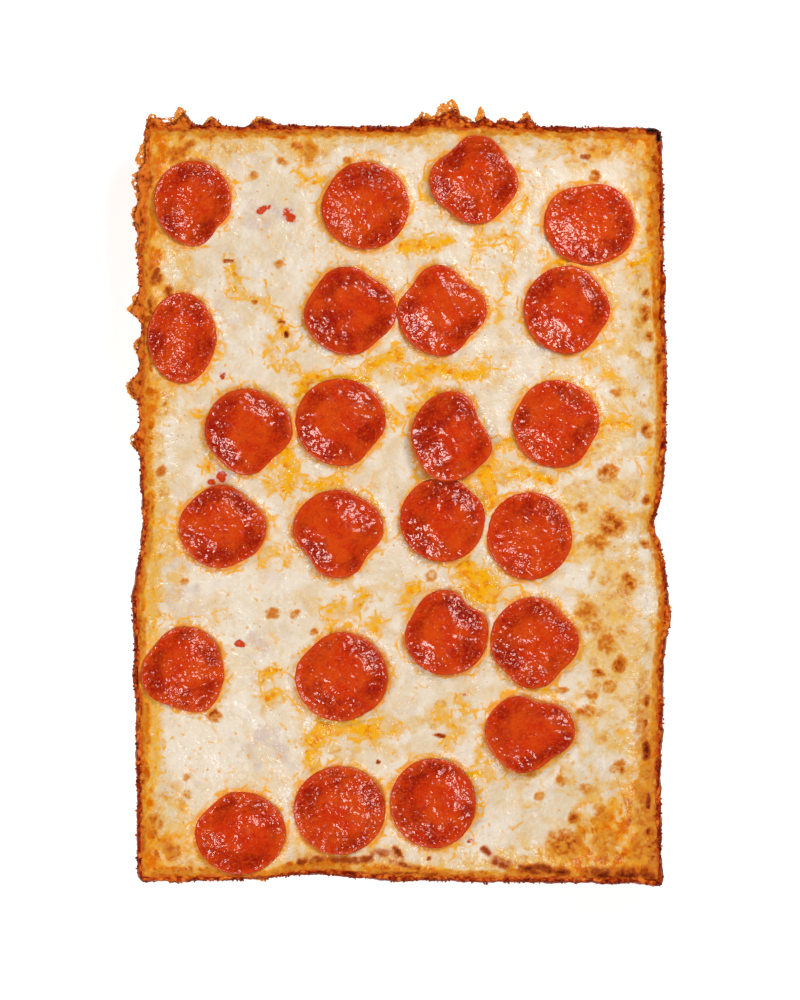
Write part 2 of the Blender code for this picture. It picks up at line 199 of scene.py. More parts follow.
# Zones that the oven has only warmed to a honey colour: pixel, half width and half depth, strength
WARM_ZONES = (
    (615, 640, 20.0, 66.0, 1.25), (615, 350, 16.0, 50.0, 0.6), (600, 520, 24.0, 28.0, 1.05),
    (560, 760, 26.0, 26.0, 0.6), (600, 800, 24.0, 30.0, 0.7), (612, 430, 16.0, 28.0, 0.8),
    (640, 320, 9.0, 60.0, 0.75), (480, 590, 26.0, 14.0, 0.6), (490, 480, 18.0, 16.0, 0.6),
    (430, 372, 36.0, 10.0, 0.6), (345, 735, 30.0, 14.0, 0.6), (285, 470, 12.0, 16.0, 0.6),
    (350, 600, 24.0, 12.0, 0.4), (445, 720, 18.0, 16.0, 0.5), (425, 240, 20.0, 8.0, 0.5),
    (170, 560, 7.0, 60.0, 0.5), (180, 820, 16.0, 22.0, 0.6), (330, 145, 60.0, 7.0, 0.5),
    (610, 150, 24.0, 14.0, 0.9), (560, 340, 30.0, 16.0, 0.25), (270, 700, 20.0, 10.0, 0.3),
)

# Matt whitish places: pixel, half width and half depth in millimetres, strength
PALE_ZONES = (
    (238, 600, 12.0, 20.0, 0.8), (205, 748, 24.0, 24.0, 1.0), (250, 345, 10.0, 12.0, 0.6),
    (300, 235, 20.0, 14.0, 0.5), (615, 170, 14.0, 12.0, 0.6), (640, 575, 10.0, 8.0, 0.4),
    (627, 829, 3.4, 5.5, 1.0), (500, 820, 16.0, 12.0, 0.4),
)

# Greyish places on the cheese, partly thin cheese over the sauce and partly painted soft shade: pixel, half
# width and half depth, strength
GREY_SHADE_ZONES = (
    (265, 213, 14.0, 9.0, 0.9), (212, 330, 12.0, 14.0, 0.5), (222, 478, 12.0, 8.0, 0.9),
    (180, 590, 10.0, 24.0, 0.7), (262, 745, 15.0, 12.0, 0.7), (255, 642, 10.0, 8.0, 0.6),
    (470, 815, 12.0, 7.0, 0.5), (618, 770, 10.0, 12.0, 0.5),
)

# The bowls that the slices have curled into, by number: how far the bowl lies to the right
# and up in shares of the radius, its depth against the others', and how much its middle sparkles
SLICE_BOWLS = {
    1: (0.1, 0.1, 1.0, 1.0), 2: (0.0, -0.1, 0.9, 0.8), 3: (0.15, 0.1, 1.2, 0.8), 4: (0.0, 0.15, 0.6, 0.7),
    5: (-0.15, 0.0, 0.7, 1.0), 6: (0.2, 0.1, 1.0, 0.1), 7: (0.1, 0.2, 1.1, 0.4), 8: (0.2, 0.1, 1.3, 0.4),
    9: (0.0, 0.0, 1.1, 0.2), 10: (-0.2, 0.1, 1.3, 0.2), 11: (0.3, 0.0, 1.7, 0.1),
    12: (-0.1, 0.2, 0.7, 0.7), 13: (0.1, 0.1, 1.0, 0.7), 14: (-0.1, -0.1, 1.4, 0.3),
    15: (0.25, 0.0, 1.3, 0.4), 16: (0.2, 0.1, 1.2, 0.7), 17: (0.0, 0.2, 0.8, 1.0),
    18: (0.2, 0.2, 1.2, 0.5), 19: (-0.15, 0.2, 1.3, 0.5), 20: (0.2, 0.1, 1.0, 0.8),
    21: (0.3, 0.0, 0.7, 0.3), 22: (0.1, -0.1, 1.6, 0.7), 23: (0.1, 0.0, 0.9, 1.0),
    24: (0.25, 0.1, 1.1, 0.6),
}

# Painted shade on some slices: slice, how far it lies to the right and up, and its size,
# in shares of the radius
SHADED_PLACES = (
    (3, -0.6, 0.6, 0.6), (3, 0.3, -0.1, 0.6), (5, -0.7, -0.1, 0.6), (6, -0.3, -0.3, 0.7),
    (6, 0.6, -0.6, 0.5), (8, -0.7, 0.6, 0.5), (9, -0.8, 0.4, 0.8), (9, -0.7, -0.5, 0.5),
    (11, 0.0, 0.1, 0.7), (11, -0.9, 0.0, 0.5), (13, -0.4, 0.8, 0.6), (14, -0.5, -0.3, 0.5),
    (15, 0.2, 0.6, 0.8), (16, 0.1, 0.4, 0.5), (19, 0.3, 0.6, 0.6), (20, -0.7, -0.3, 0.6),
    (21, -0.7, 0.5, 0.5), (21, 0.0, -0.8, 0.6), (21, 0.9, -0.4, 0.6), (1, 0.3, -0.8, 0.5),
)

# Creases that catch the light, as pixels of the photograph along each
CREASES = {
    4: ((548, 224), (556, 240), (570, 256)),
    7: ((449, 287), (456, 300), (464, 314)),
    8: ((581, 276), (592, 288), (600, 302)),
    11: ((458, 415), (467, 431), (474, 449)),
    15: ((471, 487), (473, 502), (475, 516)),
    16: ((492, 545), (499, 559), (508, 569)),
    18: ((355, 645), (363, 659), (374, 682)),
    24: ((453, 768), (459, 790), (458, 806)),
}

# How wide the gold band is along each side: pixels along the side with widths in millimetres
GOLD_BAND = {
    "left": (
        (120, 14.0), (250, 12.5), (330, 10.0), (480, 7.2), (600, 6.4), (760, 7.5), (860, 11.0),
    ),
    "right": (
        (120, 11.0), (200, 8.0), (300, 5.0), (400, 3.6), (520, 3.4), (640, 4.0), (740, 7.5), (860, 11.0),
    ),
    "top": (
        (140, 9.0), (230, 8.0), (250, 6.0), (310, 6.5), (350, 4.2), (520, 5.0), (600, 6.5), (655, 10.0),
    ),
    "bottom": (
        (140, 10.0), (200, 6.5), (260, 4.6), (310, 7.0), (400, 6.5), (470, 4.6), (520, 8.0), (655, 11.0),
    ),
}

# Thin yellow lines of grease where the cheese meets the wall
SEAMS = (
    (0.7, 0.75, (155, 520), (154, 600), (156, 690), (157, 780)),
    (0.8, 0.6, (650, 455), (649, 500)),
)

# Lace of fried cheese beyond the crest: side, first and last pixel along it, pixels that it reaches out
LACE = (
    ("top", 141, 158, 12), ("top", 172, 187, 14), ("top", 202, 217, 8), ("top", 248, 273, 8),
    ("top", 410, 440, 9), ("top", 434, 462, 17), ("top", 459, 474, 9), ("top", 475, 486, 16),
    ("top", 494, 508, 9), ("top", 518, 536, 9), ("left", 118, 132, 5), ("left", 142, 172, 12),
    ("left", 170, 204, 10), ("left", 204, 232, 7), ("left", 236, 262, 6), ("left", 292, 322, 10),
    ("left", 336, 354, 7), ("left", 376, 402, 9), ("left", 432, 452, 9), ("right", 590, 622, 4),
    ("bottom", 172, 186, 4), ("bottom", 256, 270, 4),
)


def tone(red, green, blue):
    """A colour as a screen shows it, from 0 to 255, as the linear colour that Blender works in."""
    shares = [value / 255 for value in (red, green, blue)]
    return tuple(s / 12.92 if s <= 0.04045 else ((s + 0.055) / 1.055) ** 2.4 for s in shares)


def length(name, description, millimetres):
    return bpy.props.FloatProperty(
        name=name, description=description, default=millimetres * MM, min=0.0, unit="LENGTH", precision=5
    )


def colour(name, description, red, green, blue):
    return bpy.props.FloatVectorProperty(
        name=name, description=description, default=tone(red, green, blue), min=0.0, max=1.0, subtype="COLOR"
    )


def number(name, description, value):
    return bpy.props.FloatProperty(name=name, description=description, default=value, min=0.0)


def count(name, description, value):
    return bpy.props.IntProperty(name=name, description=description, default=value, min=1)


class CheeseLook(bpy.types.PropertyGroup):
    """Sizes and colours of the melted cheese"""

    cell: length("Mesh cell", "Side of a square of the cheese's mesh", 1.0)
    spread: length("Spread", "How far the cheese spreads onto the wall", 1.5)
    climb: length("Climb", "How far the cheese's edge climbs up the wall", 1.3)
    swell: length("Swell", "Height of the broad lumps", 0.5)
    ripple: length("Ripple", "Height of the small lumps", 0.32)
    grain: length("Grain", "Height of the smallest lumps", 0.14)
    lip: length("Lip", "How far the cheese climbs up the side of a slice", 1.75)
    blister: length("Blister", "Height of a browned blister", 0.6)
    groove: length("Groove", "Depth of a streak of grease", 0.4)
    cream: colour("Cream", "Plain melted cheese", 232, 208, 172)
    pale: colour("Pale", "Whitish cheese", 243, 229, 209)
    # Grey and shade: greyish thin cheese over the sauce, and painted soft shade on the cheese
    dusk: colour("Dusk", "Greyish thin cheese over the sauce", 216, 192, 180)
    honey: colour("Honey", "Cheese that the oven has warmed", 236, 186, 92)
    gold: colour("Gold", "Cheese turned gold", 242, 170, 42)
    orange: colour("Orange", "Deeper gold, near the wall", 224, 112, 2)
    amber: colour("Amber", "Bubbles in the gold", 192, 78, 0)
    grease: colour("Grease", "Yellow grease", 248, 176, 12)
    deep_grease: colour("Deep grease", "Orange grease", 232, 112, 4)
    tan: colour("Tan", "Edge of a blister", 222, 148, 48)
    brown: colour("Brown", "Skin of a blister", 208, 108, 24)
    dark_brown: colour("Dark brown", "Top of a blister", 154, 58, 8)
    rust: colour("Rust", "Cheese fried against the wall", 204, 78, 16)
    # Peach: grease stain beside a slice, with painted light on the cheese's lip and over its shade at the
    # slice
    peach_stain_and_light: colour("Peach", "Cheese stained beside a slice", 246, 158, 62)
    sauce: colour("Sauce", "Sauce that shows through", 208, 62, 4)
    char: colour("Char", "Burnt cheese", 104, 30, 3)
    soot: colour("Soot", "Cheese burnt black", 26, 8, 10)


class SliceLook(bpy.types.PropertyGroup):
    """Sizes and colours of the pepperoni"""

    segments: count("Segments", "Sides of a slice's outline", 120)
    rings: count("Rings", "Rings of faces on a slice's top", 28)
    bump: length("Bump", "Height of the coarse bumps of the meat", 0.3)
    curl: length("Curl", "How far the rim curls up beyond the plain slice", 0.55)
    sink: length("Sink", "How far the middle sinks into the cheese", 1.7)
    crease: length("Crease", "Height of a crease that catches the light", 0.7)
    red: colour("Red", "The meat", 209, 46, 0)
    # Dark red: darker meat in the mottling, and painted shade on the slice's curves
    dark_meat_and_shade: colour("Dark red", "Dark meat", 150, 10, 0)
    orange: colour("Orange", "Light meat", 226, 82, 8)
    fat: colour("Fat", "Flecks of fat", 236, 130, 60)
    edge: colour("Edge", "The thin rim of a slice", 204, 58, 12)


class CrustLook(bpy.types.PropertyGroup):
    """Sizes and colours of the baked crust"""

    stations: count("Stations", "Columns of faces round the crust", 1950)
    crag: length("Crag", "Height of the coarse crags", 0.55)
    bubble: length("Bubble", "Height of the bubbles of fried cheese", 0.75)
    grit: length("Grit", "Height of the finest grit", 0.16)
    beads: length("Bead spacing", "Distance between the beads of fried cheese along the crest", 0.8)
    bead: length("Bead", "Radius of the largest bead", 0.8)
    lace: length("Lace", "Thickness of the fried lace", 0.5)
    crumbs: number("Crumbs", "Lumps of fried cheese on a square metre of lace", 1100000)
    # Dark, fried and copper follow the crust's relief: darker in its hollows and lighter on its bumps,
    # partly painted shade and light
    dark: colour("Dark", "Hollows of the fried cheese", 116, 18, 2)
    fried: colour("Fried", "Fried cheese", 192, 62, 6)
    copper: colour("Copper", "Raised fried cheese", 236, 128, 36)
    caramel: colour("Caramel", "Fried cheese on the sides", 150, 66, 14)
    bread: colour("Bread", "Baked bread low on the side", 214, 156, 88)
    brown_bread: colour("Brown bread", "Browner bread low on the side", 188, 118, 54)
    # Toast: pores of the bread, and partly painted shade in its low relief
    toast: colour("Toast", "Pores and hollows of the bread", 128, 62, 20)
    burnt: colour("Burnt", "The burnt corner", 26, 8, 10)
    amber: colour("Amber", "Crisp lace", 244, 172, 80)


class StageLook(bpy.types.PropertyGroup):
    """The stage, the lights and the camera"""

    lens: number("Lens", "Focal length in millimetres", 100.0)
    sensor: number("Sensor", "Long side of the sensor in millimetres", 36.0)
    lamp_distance: length("Lamp distance", "From the middle of the pizza to each soft lamp", 950)
    lamp_size: length("Lamp size", "Side of each soft lamp", 320)
    key: number("Key lamp", "Power of the lamp at the upper right, in watts", 5.9)
    fill: number("Fill lamp", "Power of the lamp at the lower left, in watts", 4.6)
    sky: number("Sky", "Brightness of the surroundings", 0.1)
    floor: colour("Floor", "The floor", 250, 250, 250)
    glow: number("Glow", "Light that the pale floor gives off", 0.55)


def spot(pixel):
    """The place on the pizza, in metres, of a pixel of the photograph."""
    return (pixel[0] - ORIGIN_PIXEL[0]) * PIXEL, (ORIGIN_PIXEL[1] - pixel[1]) * PIXEL


def ease(value, low, high):
    """0 below low, 1 above high, and a smooth step between them."""
    share = np.clip((value - low) / (high - low), 0.0, 1.0)
    return share * share * (3 - 2 * share)


def lumps(points, size, seed):
    """Smooth random values between about -1 and 1, in lumps of this size."""
    places = points / size + SEED_STEP * seed
    values = [noise.noise(place) for place in places.reshape(-1, 3).tolist()]
    return np.array(values).reshape(points.shape[:-1])


def flat_points(x, y):
    return np.stack([x, y, np.zeros_like(x)], -1)


def tree_of(node):
    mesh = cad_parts[node].data
    corners = [vertex.co for vertex in mesh.vertices]
    return BVHTree.FromPolygons(corners, [face.vertices for face in mesh.polygons])


def look_down(tree, x, y, from_above=True):
    """Where a vertical line first meets a surface, as heights, with nan where it meets none."""
    sign = 1 if from_above else -1
    down = Vector((0, 0, -sign))
    found = []
    for place_x, place_y in zip(x.ravel().tolist(), y.ravel().tolist()):
        hit = tree.ray_cast(Vector((place_x, place_y, sign)), down)[0]
        found.append(hit.z if hit else math.nan)
    return np.array(found).reshape(x.shape)


def soften(values, times, axes, closed=False):
    """Evens out neighbouring values along the axes, over and over."""
    mode = "wrap" if closed else "edge"
    for axis in axes:
        pad = [(0, 0)] * values.ndim
        pad[axis] = (1, 1)
        for _ in range(times):
            wide = np.pad(values, pad, mode=mode)
            size = values.shape[axis]
            before = np.take(wide, range(size), axis)
            after = np.take(wide, range(2, size + 2), axis)
            values = (before + 2 * values + after) / 4
    return values


def path_distance(x, y, path):
    """How far each place is from a path through the pixels."""
    nearest = np.full(x.shape, np.inf)
    places = [spot(pixel) for pixel in path]
    for (start_x, start_y), (end_x, end_y) in zip(places, places[1:]):
        step_x, step_y = end_x - start_x, end_y - start_y
        share = ((x - start_x) * step_x + (y - start_y) * step_y) / (step_x**2 + step_y**2)
        share = np.clip(share, 0, 1)
        nearest = np.minimum(nearest, np.hypot(x - start_x - share * step_x, y - start_y - share * step_y))
    return nearest


def patch_distance(x, y, mark):
    """How far each place is from a patch's middle, where 1 is its edge."""
    middle_x, middle_y = spot(mark[:2])
    return np.hypot((x - middle_x) / (mark[2] * MM), (y - middle_y) / (mark[3] * MM))


def mesh_piece(name, points, faces, material, marks):
    """A finished piece from its points and faces, with its marks as named attributes."""
    mesh = bpy.data.meshes.new(name)
    mesh.from_pydata(points.reshape(-1, 3).tolist(), [], faces)
    for mark, values in marks.items():
        layer = mesh.attributes.new(mark, "FLOAT", "POINT")
        layer.data.foreach_set("value", values.ravel().astype(np.float32))
    return place_piece(name, mesh, material)


def place_piece(name, mesh, material):
    mesh.name = name
    mesh.shade_smooth()
    mesh.materials.clear()
    mesh.materials.append(material)
    piece = bpy.data.objects.new(name, mesh)
    bpy.context.scene.collection.objects.link(piece)
    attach(piece, BODY)
    return piece


def thickened(mesh, thickness):
    """The mesh as a sheet of this thickness with soft edges."""
    holder = bpy.data.objects.new("sheet", mesh)
    bpy.context.scene.collection.objects.link(holder)
    wall = holder.modifiers.new("thickness", "SOLIDIFY")
    wall.thickness = thickness
    wall.offset = 0
    holder.modifiers.new("soften", "SUBSURF").levels = 1
    found = holder.evaluated_get(bpy.context.evaluated_depsgraph_get())
    solid = bpy.data.meshes.new_from_object(found)
    bpy.data.objects.remove(holder)
    return solid


def ring_faces(rings, around):
    """Squares between rings of points that follow each other outwards and down, facing outwards."""
    faces = []
    for ring in range(rings - 1):
        low = ring * around
        for step in range(around):
            after = (step + 1) % around
            faces.append((low + step, low + around + step, low + around + after, low + after))
    return faces


class SliceForm:
    """The plain form of one slice: its outline, and smooth surfaces through its top and underside."""

    ANGLES = 96
    SHARES = (0.0, 0.25, 0.5, 0.7, 0.86, 0.97)
    POWERS = [(i, j) for i in range(5) for j in range(5 - i)]
    UNIT = 20 * MM
    PRESS = 1.8
    FAR = 30 * MM
    HALVINGS = 12

    def __init__(self, node):
        tree = tree_of(node)
        low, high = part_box(node)
        self.middle = np.array([(low.x + high.x) / 2, (low.y + high.y) / 2])
        self.angles = np.linspace(0, TURN, self.ANGLES, endpoint=False)
        inner = np.zeros(self.ANGLES)
        outer = np.full(self.ANGLES, self.FAR)
        for _ in range(self.HALVINGS):
            trial = (inner + outer) / 2
            hit = ~np.isnan(look_down(tree, *self.at(trial, self.angles)))
            inner, outer = np.where(hit, trial, inner), np.where(hit, outer, trial)
        self.radii = self.pressed(soften(inner, 2, (0,), closed=True))
        share, angle = np.meshgrid(self.SHARES, self.angles[::3])
        x, y = self.at(share * np.interp(angle, self.angles, inner), angle)
        self.top_fit = self.fit(x, y, look_down(tree, x, y))
        self.under_fit = self.fit(x, y, look_down(tree, x, y, from_above=False))

    def pressed(self, radii):
        """The outline with its flats and corners brought out against its plain oval."""
        waves = [np.ones(self.ANGLES)]
        for turns in (1, 2):
            waves += [np.cos(turns * self.angles), np.sin(turns * self.angles)]
        waves = np.stack(waves, -1)
        oval = waves @ np.linalg.lstsq(waves, radii, rcond=None)[0]
        return oval + self.PRESS * (radii - oval)

    def at(self, radius, angle):
        return self.middle[0] + radius * np.cos(angle), self.middle[1] + radius * np.sin(angle)

    def away(self, x, y, angle, right, up):
        """How far places are from one so far to the right and up, in shares of the radius."""
        across = (x - self.middle[0]) / self.radius(angle) - right
        return np.hypot(across, (y - self.middle[1]) / self.radius(angle) - up)

    def powers(self, x, y):
        u, v = (x - self.middle[0]) / self.UNIT, (y - self.middle[1]) / self.UNIT
        return np.stack([u**i * v**j for i, j in self.POWERS], -1)

    def fit(self, x, y, z):
        known = ~np.isnan(z)
        return np.linalg.lstsq(self.powers(x[known], y[known]), z[known], rcond=None)[0]

    def radius(self, angle):
        return np.interp(angle % TURN, self.angles, self.radii, period=TURN)

    def share(self, x, y):
        """How far out places are, where 1 is the slice's outline, and the way they lie."""
        away_x, away_y = x - self.middle[0], y - self.middle[1]
        angle = np.arctan2(away_y, away_x)
        return np.hypot(away_x, away_y) / self.radius(angle), angle

    def top(self, x, y):
        return self.powers(x, y) @ self.top_fit

    def under(self, x, y):
        """Height of the underside, held at its edge's height beyond the outline."""
        share, angle = self.share(x, y)
        held = self.at(np.minimum(share, 1.0) * self.radius(angle), angle)
        return self.powers(*held) @ self.under_fit


class NodeTree:
    """Adds nodes to a tree and links them, for materials and for grown pieces alike."""

    def add(self, kind, inputs=(), **settings):
        node = self.tree.nodes.new(kind)
        for name, value in settings.items():
            setattr(node, name, value)
        for socket, value in dict(inputs).items():
            self.join(value, node.inputs[socket])
        return node

    def join(self, source, socket):
        """Puts another node's output, a number or a colour into a socket."""
        if isinstance(source, bpy.types.NodeSocket):
            self.tree.links.new(source, socket)
        elif isinstance(source, tuple) and len(source) == 3 and socket.type == "RGBA":
            socket.default_value = (*source, 1.0)
        else:
            socket.default_value = source


class Finish(NodeTree):
    """One material, built up from patterns on the object's own coordinates, with sizes in millimetres."""

    def __init__(self, name, look, base):
        self.material = bpy.data.materials.new(name)
        self.material.use_nodes = True
        self.tree = self.material.node_tree
        self.shader = self.tree.nodes["Principled BSDF"]
        self.place = self.add("ShaderNodeTexCoord").outputs["Object"]
        self.look = look
        self.base = self.paint(base)

    def paint(self, colour):
        """One of the look's colours."""
        return tuple(getattr(self.look, colour))

    def noise(self, size, detail=3.0, seed=0.0, rough=0.55, warp=0.0, stretch=(1, 1, 1)):
        """Soft noise with lumps of this size."""
        inputs = {"Vector": self.place, "Scale": stretch, "Location": (seed, 0, 0)}
        mapped = self.add("ShaderNodeMapping", inputs).outputs[0]
        inputs = {"Vector": mapped, "Scale": 1 / (size * MM), "Detail": detail, "Roughness": rough}
        return self.add("ShaderNodeTexNoise", {**inputs, "Distortion": warp}).outputs["Fac"]

    def vector(self, kind, first, second, socket=1):
        return self.add("ShaderNodeVectorMath", {0: first, socket: second}, operation=kind).outputs[0]

    def bent(self, size, amount, seed=0.0, detail=3.0):
        """The object's coordinates, pushed about by noise."""
        mapped = self.add("ShaderNodeMapping", {"Vector": self.place, "Location": (0, seed, 0)}).outputs[0]
        push = self.add("ShaderNodeTexNoise", {"Vector": mapped, "Scale": 1 / (size * MM), "Detail": detail})
        even = self.vector("SUBTRACT", push.outputs["Color"], (0.5, 0.5, 0.5))
        return self.vector("ADD", self.place, self.vector("SCALE", even, amount * MM, "Scale"))

    def cells(self, size, place=None, feature="F1"):
        """Distances to cell middles, or to their edges, in shares of a cell's size."""
        inputs = {"Vector": place or self.place, "Scale": 1 / (size * MM)}
        return self.add("ShaderNodeTexVoronoi", inputs, feature=feature).outputs["Distance"]

    def mark(self, name):
        """One of the piece's marks, by name; anything else is passed on."""
        if not isinstance(name, str):
            return name
        return self.add("ShaderNodeAttribute", attribute_name=name).outputs["Fac"]

    def sum(self, first, second, kind="ADD"):
        return self.add("ShaderNodeMath", {0: first, 1: second}, operation=kind).outputs[0]

    def times(self, first, second):
        return self.sum(first, second, "MULTIPLY")

    def span(self, source, low, high, to_low=0.0, to_high=1.0):
        """A smooth step from low to high. Where low is the larger, it is 1 below high."""
        inputs = {"Value": source, "From Min": low, "From Max": high, "To Min": to_low, "To Max": to_high}
        return self.add("ShaderNodeMapRange", inputs, interpolation_type="SMOOTHSTEP").outputs["Result"]

    def broken(self, mark, pattern, amount):
        """A mark made uneven by a pattern, by up to this share; where there is no mark, nothing comes."""
        return self.times(self.mark(mark), self.span(pattern, 0.3, 0.7, 1 - amount, 1 + amount))

    def shifted(self, mark, pattern, low, high, down, up):
        """A mark moved down and up by a pattern."""
        return self.sum(self.mark(mark), self.span(pattern, low, high, -down, up))

    def sown(self, pattern, size, seed, low, high, detail=2):
        """A pattern kept only where noise of this size is high."""
        return self.times(pattern, self.span(self.noise(size, detail, seed=seed), low, high))

    def blend(self, factor, first, second):
        return self.add("ShaderNodeMix", {0: factor, 6: first, 7: second}, data_type="RGBA").outputs[2]

    def lay(self, colour, factor, share=1.0):
        """Lays one of the look's colours over the base."""
        if share != 1.0:
            factor = self.times(factor, share)
        self.base = self.blend(factor, self.base, self.paint(colour))

    def coat(self, colour, pattern, low, high, share=1.0):
        """Lays one of the look's colours where a pattern has passed from low to high."""
        self.lay(colour, self.span(pattern, low, high), share)

    def bump(self, height, distance, normal=None):
        inputs = {"Height": height, "Distance": distance * MM, "Strength": 1.0}
        if normal is not None:
            inputs["Normal"] = normal
        return self.add("ShaderNodeBump", inputs).outputs["Normal"]

    def done(self, **inputs):
        """Sets the shader's sockets, whose names are given with _ for a space, and gives the material."""
        for name, value in {"Base_Color": self.base, **inputs}.items():
            self.join(value, self.shader.inputs[name.replace("_", " ")])
        return self.material


def cheese_base(made, soft, small):
    """Plain melted cheese: creamy places, greyish places partly of painted soft shade, honey-coloured
    places, with freckles and veins of grease.
    """
    made.coat("cream", made.noise(14, 3, seed=1, warp=0.5), 0.36, 0.64)
    # Painted soft shade, with thin cheese over the sauce, in the greyish zones
    made.coat("dusk", made.shifted("dusk", made.noise(8, 3, seed=7), 0.36, 0.68, 0.5, 0.5), 0.1, 1.0, 0.85)
    warm = made.shifted("warm", made.noise(9, 2.5, seed=13, warp=0.5), 0.36, 0.64, 0.6, 0.34)
    made.coat("honey", warm, 0.0, 0.95, 0.9)
    made.lay("tan", made.sown(made.span(warm, 0.3, 0.95), 4.6, 15, 0.5, 0.66, 1.5), 0.85)
    made.coat("pale", made.broken("pale", small, 0.5), 0.1, 0.9, 0.8)
    made.coat("pale", made.noise(2.4, 2, seed=17), 0.5, 0.66, 0.3)
    made.coat("cream", made.noise(3.4, 2, seed=37, warp=0.8, stretch=(1, 0.4, 1)), 0.46, 0.62, 0.25)

    oily = made.span(made.sum(made.mark("halo"), made.noise(12, 2, seed=11)), 0.52, 0.76)
    made.lay("gold", made.sown(oily, 3.2, 9, 0.52, 0.7), 0.75)
    edge = made.cells(9, made.bent(7, 5, 3, 0.6), "DISTANCE_TO_EDGE")
    vein = made.times(made.span(edge, 0.085, 0.03), made.span(soft, 0.34, 0.46))
    made.lay("grease", made.times(vein, oily), 0.95)
    drops = made.span(made.cells(4.4, made.bent(3, 2.5, 9, 1.0)), 0.24, 0.1)
    made.lay("gold", made.sown(drops, 13, 39, 0.44, 0.56), 0.8)
    pits = made.span(made.cells(3.1, made.bent(3, 2, 11, 1.0)), 0.17, 0.06)
    made.lay("brown", made.sown(pits, 16, 41, 0.5, 0.6), 0.7)


def cheese_finish(look):
    """Melted cheese, with its gold, grease, blisters, sauce and burnt places where the marks say."""
    made = Finish("melted cheese", look, "pale")
    fine = made.noise(1.6, 3, seed=3)
    small = made.noise(3.8, 3, seed=5)
    soft = made.noise(3.4, 1.2, seed=25)
    cheese_base(made, soft, small)

    golden = made.broken("gold", made.noise(6, 3, seed=21), 0.55)
    swirl = made.noise(9, 3, seed=43, warp=1.2, stretch=(1, 0.6, 1))
    golden = made.times(golden, made.span(swirl, 0.5, 0.6, 1.0, 0.45))
    blobs = made.span(made.cells(6.5, made.bent(5, 5, 7)), 0.55, 0.25, 0.0, 0.8)
    plain, made.base = made.base, made.paint("gold")
    made.coat("orange", golden, 0.3, 1.15)
    made.lay("amber", made.times(blobs, made.span(made.sum(golden, soft), 0.7, 1.5)))
    made.coat("honey", made.noise(2.8, 2, seed=29), 0.52, 0.7, 0.45)
    made.base = made.blend(made.span(golden, 0.06, 0.6), plain, made.base)

    made.coat("gold", made.broken("halo", small, 0.5), 0.05, 1.1, 0.95)
    # A peach ring at each slice: grease stain, and painted light on the lip and over the shade at the
    # slice's edge
    made.coat("peach_stain_and_light", made.broken("ring", soft, 0.7), 0.0, 0.85, 0.95)
    stain = made.broken(made.broken("grease", soft, 0.4), fine, 0.16)
    made.coat("honey", stain, 0.3, 1.05, 0.8)
    wet = made.span(stain, 0.8, 1.5)
    made.lay("grease", wet)
    made.lay("deep_grease", made.sown(made.span(stain, 1.0, 1.4), 3.4, 27, 0.46, 0.66, 2.5), 0.75)
    made.lay("honey", made.sown(made.span(stain, 1.0, 1.3), 4.4, 45, 0.5, 0.66, 3), 0.6)

    brown = made.broken(made.broken("brown", made.noise(2.7, 1.5, seed=35), 0.6), fine, 0.1)
    made.coat("tan", brown, 0.04, 0.42, 0.85)
    made.coat("brown", brown, 0.34, 0.78, 0.85)
    made.coat("dark_brown", brown, 0.85, 1.25, 0.85)
    made.coat("rust", made.broken("rust", small, 0.5), 0.15, 1.0, 0.9)
    red = made.broken("sauce", small, 0.6)
    # Greyish thin cheese round the peeks of sauce, in the same grey as the painted soft shade
    made.coat("dusk", red, 0.05, 0.5, 0.5)
    made.coat("sauce", red, 0.4, 0.8)
    burnt = made.broken(made.broken("char", small, 0.45), fine, 0.1)
    made.coat("brown", burnt, 0.06, 0.4, 0.85)
    made.coat("dark_brown", burnt, 0.3, 0.62, 0.9)
    made.coat("char", burnt, 0.66, 1.0)
    made.coat("soot", burnt, 1.2, 1.7)

    shine = made.sum(made.times(wet, -0.1), made.span(small, 0.35, 0.65, 0.2, 0.36))
    shine = made.sum(shine, made.span(burnt, 0.0, 1.0, 0.0, 0.3))
    normal = made.bump(made.noise(4.5, 2, seed=31), 0.8)
    normal = made.bump(made.noise(1.7, 1, seed=33), 0.4, normal)
    strong = made.sum(made.sum(burnt, made.mark("brown")), made.times(made.mark("gold"), 0.5))
    gloss = made.span(strong, 0.1, 0.7, 0.45, 0.06)
    return made.done(Roughness=shine, Normal=normal, IOR=1.42, Specular_IOR_Level=gloss)


